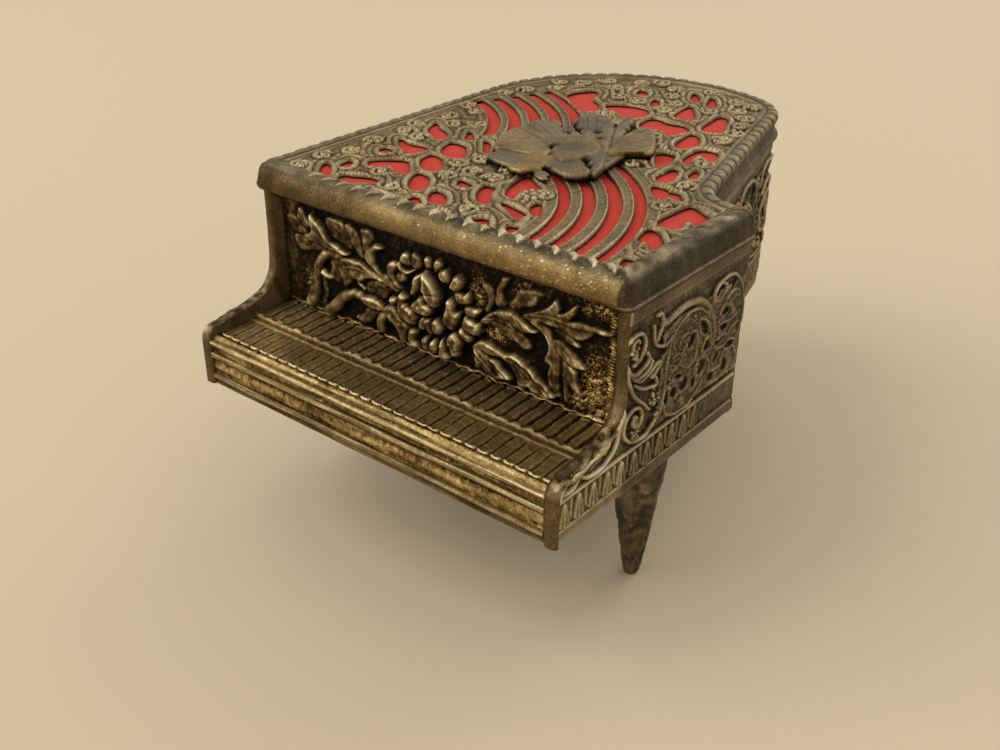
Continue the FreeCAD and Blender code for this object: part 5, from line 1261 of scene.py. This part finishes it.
cheekHollows = [
    (23.8, 55.6, 1.5, 1.2, 60), (28.3, 56.7, 2.2, 0.9, -50), (30, 52.2, 1.1, 1.1, 0),
    (28.4, 48.2, 1.8, 1.5, 0), (22.4, 47.2, 1.5, 1.4, 0), (18.8, 46.8, 1.3, 1, -30),
    (16.2, 46.7, 0.9, 1.6, 0), (25.9, 45.9, 0.8, 1.2, 0), (32.7, 44.3, 1.4, 1, -30),
    (38, 44.8, 1.1, 1.4, 20), (36.3, 57.1, 1.4, 0.7, -10), (36.1, 53.7, 1.3, 0.7, 0),
    (34.4, 51.3, 1.2, 0.6, 0), (39, 49, 1.9, 0.8, -20), (38.3, 62.1, 1.4, 0.7, 30),
    (32.7, 62.6, 1, 0.8, 40), (12, 46.4, 1, 0.8, 30), (10.5, 44, 0.9, 0.7, 0), (13.6, 57.4, 1.4, 0.7, 0),
    (16.9, 50.1, 1.1, 0.5, 10), (20.2, 49.6, 1.1, 0.5, -20), (34.1, 47.9, 1.2, 0.8, 30)]
cheekGrains = [
    (20.2, 55, 1.6), (17.6, 52.9, 1.3), (21, 52.4, 1.2), (11.4, 48.2, 1.6), (12.8, 45, 1.4),
    (16.6, 49.2, 1.2), (20.8, 43.6, 1.6), (29.4, 58.8, 1.2), (24.4, 59.8, 1.4), (32, 56.4, 1.2),
    (33.8, 53.2, 1), (5.8, 46.4, 0.9), (6, 43.6, 1.2), (26, 49.4, 1.2), (4.2, 60.6, 1)]
# curls behind the long side's roundels (y, z, size), and the arm's strands and hollows
flankCurls = ((63, 46, 2.0), (69.5, 46.5, 2.4), (75.2, 46.5, 1.8), (62.6, 62.6, 1.6), (47, 62.5, 1.8),
              (46.6, 45.6, 1.8))
armStrands = [
    ([(-17.4, 43), (-15.4, 42), (-12.9, 42.2), (-11.4, 43.6), (-9.6, 44.7), (-6, 45.6), (-2.4, 47.6)],
     0.9, 0.98),
    ([(-16.8, 44.2), (-14.6, 44.9), (-12.6, 44.5), (-10.6, 43.2), (-8.4, 42), (-4.2, 42), (-0.6, 44.2),
      (0.6, 48), (1.4, 53), (1.5, 57)], 0.9, 0.98),
    ([(-4.0, 44.6), (-2.2, 46.2), (-0.6, 48.8), (0.4, 51.8)], 0.8, 0.95)]
armHollows = ((-14.8, 43.5, 1.5, 0.7, 0), (-7.2, 43.8, 3.0, 0.9, 8), (-1.5, 46.2, 2.0, 0.8, 50))


def buildSide(name, node, hand, back, step):
    relief, y, z, height = newRelief(-18.2, back, case["foot"], case["wallTop"], step)
    outline = np.vstack([armLine, [(back, 31.6), (back, 69.4), (1.6, 69.4)]])
    inside = -awayFrom(y, z, outline)
    level = np.where(y > 2.5, np.maximum(inside, 1.0), np.where(y < 2.3, inside - 0.45, inside))
    height += 0.12 * grain(y.shape, 1, 61) + 0.1 * grain(y.shape, 5, 62)
    for points, width in cheekStrands:
        strand(relief, points, width, 0.86, 0.25, 0.75, flat=0.55)
    rng = np.random.default_rng(5)
    for py, pz, spread in cheekGrains:
        for dy, dz in rng.normal(0, spread * 0.6, (16, 2)):
            bead(relief, py + dy, pz + dz, rng.uniform(0.24, 0.45), rng.uniform(0.7, 0.95))
    if back > 50:
        roundel(relief, 54.5, 53.6, 8.2, 1, 7, 20)
        roundel(relief, 69.0, 57.4, 5.6, -1, 9, 60)
        for px, pz, size in flankCurls:
            curl(relief, px, pz, size, 1.2, 40 * px % 360, 1, 0.85, 0.9)
        strand(relief, [(44.5, 43), (50, 42.2), (60, 43), (68, 42.2), (77, 43)], 0.8, 0.7)
    # the bare ground between the scrolls is uneven metal nearly as high as they are, with
    # hollows cast into it that are painted dark, as shade
    area = (y > 13.5) & (y < back - 1.0) & (z > 42.2) & (z < 62.5) & (z < 56 + 0.35 * y)
    ground = 0.28 + 0.3 * ridged(y.shape, 4, 66) + 0.15 * grain(y.shape, 1, 68)
    height[:] = np.where(area, np.maximum(height, ground), height)
    for py, pz, a, b, turn in cheekHollows:
        hollowOut(relief, py, pz, a * 1.1, b * 1.1, turn, 0.3)
    height *= 0.82 + 0.3 * grain(y.shape, 4, 69)
    fade = np.clip(1 - (y - 24) / 14, 0.25, 1) if back < 50 else np.clip(1.1 - np.abs(y - 30) / 90, 0.4, 1)
    leafBand(relief, -17.2, back - 1.2, fade)
    # arm: a raised edge and three oval hollows with bright rims
    raiseUp(relief, np.where((y < 1.9) & (z > 41.2), 0.98 * dome((level - 0.85) / 0.9), 0))
    for line, width, high in armStrands:
        strand(relief, line, width, high)
    for hollow in armHollows:
        hollowOut(relief, *hollow, 0.5)
    height[:] = np.clip(height, -0.4, 1.02) - 0.5 * clamp(1 - level / 0.5)**2
    # low places among the scrolls are painted darker, as shade; the arm in front is brighter
    deep = clamp((0.25 - height) / 0.5) * (z > 42) * (z < 66)
    relief["shine"] = -0.1 - 0.4 * deep + 0.25 * (y < 3)
    relief["tone"] += 0.75 * clamp(1 - level / 0.7) * (y < 3) + (0.3 if hand < 0 else 0.0)
    face = 45.92
    wall = reliefPiece(name, relief, level, lambda py, pz, up: np.stack([hand * (face + up), py, pz], -1),
                       case["inner"] - face, "case", agedPewter, hand < 0, (-0.3, 0.7), brim=-0.1)
    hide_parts(node)
    buildArmBead(name + "_arm_bead", node, hand)


def buildArmBead(name, node, hand):
    # The arm's rounded top: an oval section carried down the side's outline, with lumps and
    # dark cuts where it is low, and a plain golden strip down its front end
    run = runOf(armLine)
    s = np.arange(0, run[-1], 0.25)[:, None]
    py, pz = np.interp(s, run, armLine[:, 0]), np.interp(s, run, armLine[:, 1])
    ty, tz = np.gradient(py, axis=0), np.gradient(pz, axis=0)
    size = np.hypot(ty, tz)
    angle = np.linspace(0, 2 * math.pi, 41)[:-1][None, :]
    lumpy = np.clip((52 - pz) / 5, 0.12, 1) * clamp((pz - 42.3) / 1.5)
    shape = (len(s), angle.shape[1])
    rough = (grain(shape, 2, 75) - 0.5) + 0.6 * (grain(shape, 5, 76) - 0.5)
    cuts = sum(bell((s - spot - 1.6 * np.cos(angle)) / 0.55) * bell((angle - (1.0 if k % 2 else 1.9)) / 0.5)
               for k, spot in enumerate(np.arange(run[-1] - 33, run[-1] - 11, 3.1)))
    broad = clamp((60 - pz) / 14)
    depth = 0.75 + lumpy * (0.5 * rough - 0.55 * cuts)
    wide = 0.95 + 0.5 * broad + lumpy * 0.25 * (rough - 0.4)
    x = hand * (45.15 + 0.2 * broad + wide * np.sign(np.cos(angle)) * np.abs(np.cos(angle))**0.8)
    off = np.minimum(depth * np.sin(angle), 0.8) - 0.8
    frontEnd = clamp((42.6 - pz) / 1.0)
    crest = lumpy * (0.9 * rough - 0.9 * cuts) - 0.2 + 0.3 * broad - 0.25 * frontEnd
    tone = clamp(0.6 - 0.4 * broad + 0.35 * frontEnd) + 0 * crest
    piece = addMesh(name, np.stack([x, py + tz / size * off, pz - ty / size * off], -1),
                    [gridQuads(*shape, False, True)], "case", agedPewter, {"crest": crest, "tone": tone},
                    close=True)
    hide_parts(node)


def shellPiece(name, relief, place, back, body, material):
    # A rectangular relief on a curved wall: the front, a plain back and the four edges
    rows, cols = relief["x"].shape
    x, y, height = (relief[k].ravel() for k in ("x", "y", "height"))
    n = rows * cols
    index = np.arange(n).reshape(rows, cols)
    border = np.concatenate([index[0, :-1], index[:-1, -1], index[-1, :0:-1], index[:0:-1, 0]])
    after = np.roll(border, -1)
    quads = gridQuads(rows, cols)
    edge = np.stack([after, border, border + n, after + n], -1)
    attributes = {"crest": np.concatenate([crestOf(relief, 1.2).ravel(), np.full(n, -0.3)]),
                  "tone": np.concatenate([relief["tone"].ravel(), np.zeros(n)])}
    points = np.vstack([place(x, y, height), place(x, y, np.full(n, float(back)))])
    return addMesh(name, points, [quads, quads[:, ::-1] + n, edge], body, material, attributes)


def buildCurvedWall(name, node, first, last, seed):
    # The wall follows the plan, 1.1 mm inside the lid's edge; first and last are places on it
    path, normals, place = planPath(case["overhang"], 0.15)
    run = runOf(path)
    onTail = (path[:, 1] > 92) | (place > 4.5)
    keep = (place >= first) & (place <= last)
    keep &= onTail if first > 3 else ~onTail & (path[:, 0] < case["inner"])
    path, normals, run = path[keep], normals[keep], run[keep] - run[keep][0]
    distinct = np.concatenate([[True], np.diff(run) > 1e-6])
    path, normals, run = path[distinct], normals[distinct], run[distinct]
    total = run[-1]
    relief, s, z, height = newRelief(0, total, case["foot"], case["wallTop"], 0.33)
    height += 0.12 * grain(s.shape, 1, seed) + 0.1 * grain(s.shape, 4, seed + 1)
    rng = np.random.default_rng(seed)
    count = max(int(total / 17.5), 1)
    for k in range(count):
        px = total * (k + 0.5) / count
        hand = 1 if k % 2 else -1
        roundel(relief, px, 55.6 if k % 2 else 53.8, 6.6, hand, seed + k, rng.uniform(0, 360))
        for dx, pz, size in ((-8.2, 47, 1.7), (8.0, 62.6, 1.7), (-3.4, 44.6, 1.6), (3.4, 44.4, 1.5)):
            curl(relief, px + dx, pz, size, 1.2, rng.uniform(0, 360), hand, 0.85, 0.9)
        strand(relief, [(px - 9, 43), (px - 4, 42.2), (px + 4, 42.9), (px + 9, 42.3)], 0.8, 0.7)
        strand(relief, [(px - 8.6, 60.5), (px - 6, 64.2), (px, 65.2), (px + 6, 63.6), (px + 8.8, 58)], 1.1,
               0.85, 0.2)
    area = (z > 42.3) & (z < 64.5) & (s > 1.2) & (s < total - 1.2)
    height[:] = np.where(area & (height < 0.35), 0.95 * ridged(s.shape, 2, seed + 60) - 0.35, height)
    # low ground among the scrolls is painted darker, as shade
    relief["shine"] = -0.05 - 0.4 * area * clamp((0.5 - height) / 0.5)
    leafBand(relief, 0.6, total - 0.6)
    height[:] = np.clip(height, -0.3, 1.0)

    def along(ps, pz, up):
        px, py, nx, ny = (np.interp(ps, run, values) for values in (*path.T, *normals.T))
        size = np.hypot(nx, ny)
        return np.stack([px + nx / size * up, py + ny / size * up, pz], -1)

    wall = shellPiece(name, relief, along, -2.1, "case", agedPewter)
    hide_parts(node)


# radius at the foot, how it grows with z, tiers of leaves in mm, and the toe's radius by z
leg = {"foot": 1.94, "slope": 0.132, "top": 31.6, "tier": 9, "leaves": 5,
       "toeZ": [0, 0.15, 0.5, 1.0, 1.5], "toe": [0.75, 1.2, 1.6, 1.8, 1.89]}


def buildLegs():
    # Tapered legs of round section with overlapping cast leaves and a blunt toe
    for number, (node, (cx, cy)) in enumerate(case["legs"].items()):
        heights = np.concatenate([leg["toeZ"][:-1], np.linspace(1.5, leg["top"] - 0.05, 110)])
        angle, z = np.meshgrid(np.linspace(0, 2 * math.pi, 97)[:-1], heights, indexing="ij")
        full = leg["foot"] + leg["slope"] * z
        radius = np.where(z < 1.5, np.interp(z, leg["toeZ"], leg["toe"]), full - 0.25)
        tier = (leg["top"] - z) / leg["tier"]
        cell = np.mod(angle / (2 * math.pi) * leg["leaves"] + np.floor(tier) * 0.5, 1.0) - 0.5
        t = np.mod(tier, 1.0)
        body = dome(cell / np.maximum(0.48 * dome(t), 0.02))
        swell = (0.2 * body * (0.35 + 0.65 * t) + 0.06 * bell(cell / 0.05) * body) * np.clip(z / 9, 0.1, 1)
        rough = 0.26 * (grain(angle.shape, 2, 71 + number) - 0.5)
        radius = np.minimum(radius + swell + rough, full + 0.12)
        patches = grain(angle.shape, 9, 77) - 0.5
        crest = (swell + rough - soften(swell + rough, 3)) * 1.8 - 0.14 + 0.3 * patches
        points = np.stack([cx + radius * np.cos(angle), cy + radius * np.sin(angle), z], -1)
        piece = addMesh("cast_" + node, points, [gridQuads(*angle.shape, True, False)], "case", agedPewter,
                        {"crest": crest}, close=True)
        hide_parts(node)


# the tray's outside: half width, y of front and back, and z of its bottom and top
tray = {"x": 43.7, "front": 7.2, "back": 41.2, "bottom": 33.2, "top": 68.6, "wall": 1.2, "corner": 2.2}


def buildTray():
    # The tray behind the keys: card covered in felt, its section (inset, z) carried round a
    # rounded rectangle from the middle of its underside to the middle of its floor
    low, high, wall = tray["bottom"], tray["top"], tray["wall"]
    section = evenly([(8, low), (1.2, low), (0.35, low + 0.3), (0, low + 1.1), (0, high - 0.5),
                      (0.15, high - 0.12), (0.6, high), (wall - 0.15, high - 0.12), (wall, high - 0.5),
                      (wall, low + 2.2), (wall + 0.3, low + 1.5), (wall + 1.1, low + wall),
                      (8, low + wall)], 110)
    inset, z = section.T[:, :, None]
    corner = np.maximum(tray["corner"] - inset, 0.3)
    # points spread round the straight outline and its rounded corners
    a = np.linspace(0, 2 * math.pi, 241)[None, :-1]
    fullX, fullY = tray["x"] - inset, (tray["back"] - tray["front"]) / 2 - inset
    reach = 1 / np.maximum(np.abs(np.cos(a)) / fullX, np.abs(np.sin(a)) / fullY)
    x, y = reach * np.cos(a), reach * np.sin(a)
    cornerX, cornerY = np.abs(x) - (fullX - corner), np.abs(y) - (fullY - corner)
    inCorner = (cornerX > 0) & (cornerY > 0)
    shrink = np.where(inCorner, corner / np.maximum(np.hypot(cornerX, cornerY), corner), 1)
    x = np.where(inCorner, np.sign(x) * (fullX - corner + cornerX * shrink), x)
    y = np.where(inCorner, np.sign(y) * (fullY - corner + cornerY * shrink), y)
    nap = 0.08 * (grain(x.shape, 2, 55) - 0.5) * ((z > low + 0.5) & (z < high - 0.5) | (inset > 2))
    points = np.stack([x, y + (tray["back"] + tray["front"]) / 2, z + nap], -1)
    piece = addMesh("tray_felt_covered", points, [gridQuads(*x.shape, False, True)], "case", redFelt,
                    close=True)
    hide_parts("jewel_tray")


def buildCover():
    # The felt-covered card over the movement, its edges rounded and its face slightly uneven
    relief, x, y, height = newRelief(-44, 44, 41.2, 116, 0.8)
    level = np.minimum(-awayFrom(x, y, closed(planPath(3.35, 1.2)[0])), y - 41.35)
    height[:] = -0.35 * clamp(1 - level / 0.9)**2 + 0.08 * grain(x.shape, 2, 56)
    cover = reliefPiece("cover_felt_face", relief, level, above(60.7), -1.1, "case", redFelt)
    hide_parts("movement_cover")


buildTray()
buildCover()
buildPanel()
buildKeyboard()
buildSlip()
print("front built")
buildSide("right_cheek", "right_side_wall", 1, 44.0, 0.2)
buildSide("left_flank", "left_side_wall", -1, 78.6, 0.26)
buildCurvedWall("bent_flank", "bent_side_wall", 2.0, 4.0, 81)
buildCurvedWall("tail_end_wall", "tail_wall", 3.4, 6.0, 91)
buildLegs()
print("case built")


# The movement's notes, and screws with slots

# its place in the case; the cylinder's axis, radius and notes, and the comb's teeth over it
movement = {"spot": (-10.0, 66.0, 33.2), "drumY": 2.0, "drumZ": 15.88, "drumRadius": 6.5, "combStart": 2.6,
            "toothPitch": 0.967, "teeth": 18, "notes": 260}


def inMovement(points):
    # The movement's own frame, turned half round into the case
    return np.asarray(points, float) * (-1, -1, 1) + movement["spot"]


def buildNotes():
    # The raised notes on the cylinder: blunt six-sided cones 0.25 mm high, in rows under the teeth
    rng = np.random.default_rng(101)
    count, sides = movement["notes"], 6
    column = rng.integers(0, movement["teeth"], count)
    tooth = column + 0.5 + rng.uniform(-0.22, 0.22, count)
    across = movement["combStart"] + tooth * movement["toothPitch"]
    turn = (np.sort(rng.uniform(0, 2 * math.pi, count)) + 0.01 * column)[:, None, None]
    radius, height = np.array([0.2, 0.17, 0.1])[:, None], np.array([-0.05, 0.12, 0.25])[:, None]
    a = np.linspace(0, 2 * math.pi, sides + 1)[:-1]
    out = movement["drumRadius"] + height + 0 * a
    x = across[:, None, None] + radius * np.cos(a)
    side = radius * np.sin(a) + 0 * x
    points = np.stack([x, movement["drumY"] + out * np.cos(turn) - side * np.sin(turn),
                       movement["drumZ"] + out * np.sin(turn) + side * np.cos(turn)], -1)
    caps = np.array([[0, 3, 2, 1], [0, 5, 4, 3]])
    quads = np.concatenate([gridQuads(3, sides, False, True), caps, caps[:, ::-1] + 2 * sides])
    faces = (np.arange(count)[:, None, None] * 3 * sides + quads).reshape(-1, 4)
    notes = addMesh("cylinder_notes", inMovement(points), [faces], "cylinder", musicBrass, close=True)


combSpots = inMovement([(6.4, -17.8, 0), (16.2, -17.8, 0)])[:, :2]
bedSpots = inMovement([(-23.0, -17.5, 0), (-23.0, 17.5, 0), (28.5, -17.5, 0)])[:, :2]
screwSets = [
    {"name": "leg_screws", "spots": list(case["legs"].values()), "seat": 32.4, "up": 1, "head": (2.5, 0.78),
     "shank": (1.2, 6.7)},
    {"name": "comb_screws", "spots": combSpots, "seat": 49.58, "up": 1, "head": (1.8, 0.9),
     "shank": (0.9, 4.0)},
    {"name": "movement_screws", "spots": bedSpots, "seat": 31.6, "up": -1, "head": (2.3, 0.9),
     "shank": (1.0, 3.0)},
]


def buildScrews(name, spots, seat, up, head, shank):
    # Slotted screws: a low domed head (radius, height) and a shank (radius, length)
    a = np.linspace(0, 2 * math.pi, 73)[:-1][:, None]
    crown = np.linspace(0.98, 0.04, 16)
    radius = np.array([shank[0] * 0.7, shank[0], shank[0], head[0], head[0], *crown * head[0]])
    rise = np.array([-shank[1], -shank[1] + 0.3, 0, 0, head[1] * 0.6, *(head[1] * (1 - 0.4 * crown**4))])
    x, y = radius * np.cos(a), radius * np.sin(a)
    cut = (np.abs(y * math.cos(0.6) - x * math.sin(0.6)) < 0.3) & (np.arange(len(radius)) > 4)
    z = seat + up * (rise - np.where(cut, 0.45 * head[1], 0))
    points = np.concatenate([np.stack([x + sx, y + sy, z], -1) for sx, sy in spots])
    ring = gridQuads(*x.shape, True, False)
    faces = np.concatenate([ring + k * x.size for k in range(len(spots))])
    screws = addMesh("slotted_" + name, points, [faces], "case", springSteel, close=True)
    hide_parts(name)


# Carried-over nodes, floor, lamps and camera

def finishNodes():
    # every CAD node takes its slot's finish
    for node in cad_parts.values():
        for slot in node.material_slots:
            slot.material = slotFinish.get(slot.material.name.split(".")[0], agedPewter)


def buildStage():
    size = 2.2
    mesh = bpy.data.meshes.new("floor")
    corners = [(-size, -size, 0), (size, -size, 0), (size, size, 0), (-size, size, 0)]
    mesh.from_pydata(corners, [], [(0, 1, 2, 3)])
    floor = bpy.data.objects.new("floor", mesh)
    bpy.context.scene.collection.objects.link(floor)
    material, tree = newMaterial("paleTable")
    finishWith(tree, {"Base Color": srgb("c9bda6"), "Roughness": 0.75}, None)
    mesh.materials.append(material)


lamps = [{"name": "window", "from": (-1.05, -1.25, 1.4), "at": (0, -0.03, 0.04), "size": 2.0, "power": 24.0},
         {"name": "rear", "from": (0.1, 1.4, 1.1), "at": (0, 0, 0.05), "size": 1.1, "power": 5.0}]


def buildLight():
    world = bpy.data.worlds.new("studio")
    bpy.context.scene.world = world
    world.use_nodes = True
    world.node_tree.nodes.clear()
    back = addNode(world.node_tree, "Background", {"Color": srgb("d8d0c0"), "Strength": 1.13})
    addNode(world.node_tree, "OutputWorld", None, {"Surface": back})
    for each in lamps:
        lamp = bpy.data.lights.new(each["name"], "AREA")
        lamp.shape, lamp.color = "DISK", srgb("fff9f0")[:3]
        lamp.size, lamp.energy = each["size"], each["power"]
        piece = bpy.data.objects.new(each["name"], lamp)
        start = Vector(each["from"])
        aim = (Vector(each["at"]) - start).to_track_quat("-Z", "Y").to_matrix().to_4x4()
        piece.matrix_world = Matrix.Translation(start) @ aim
        bpy.context.scene.collection.objects.link(piece)


def buildCamera():
    view = {"from": (0.13933, -0.19797, 0.1546), "turn": 38.71, "tilt": 29.1, "roll": 0.637, "lens": 41.795}
    a, e, r = (math.radians(view[k]) for k in ("turn", "tilt", "roll"))
    back = Vector((math.sin(a) * math.cos(e), -math.cos(a) * math.cos(e), math.sin(e)))
    right = Vector((math.cos(a), math.sin(a), 0))
    up = back.cross(right)
    columns = (right * math.cos(r) + up * math.sin(r), -right * math.sin(r) + up * math.cos(r), back)
    lens = bpy.data.cameras.new("camera")
    lens.lens, lens.sensor_width, lens.clip_start = view["lens"], 36.0, 0.005
    camera = bpy.data.objects.new("camera", lens)
    facing = Matrix([list(row) for row in zip(*columns)]).to_4x4()
    camera.matrix_world = Matrix.Translation(Vector(view["from"])) @ facing
    bpy.context.scene.collection.objects.link(camera)
    bpy.context.scene.camera = camera


buildNotes()
for screwSet in screwSets:
    buildScrews(**screwSet)
finishNodes()
buildStage()
buildLight()
buildCamera()
bpy.context.scene.view_settings.view_transform = "Standard"
print("stage, lamps and camera ready")
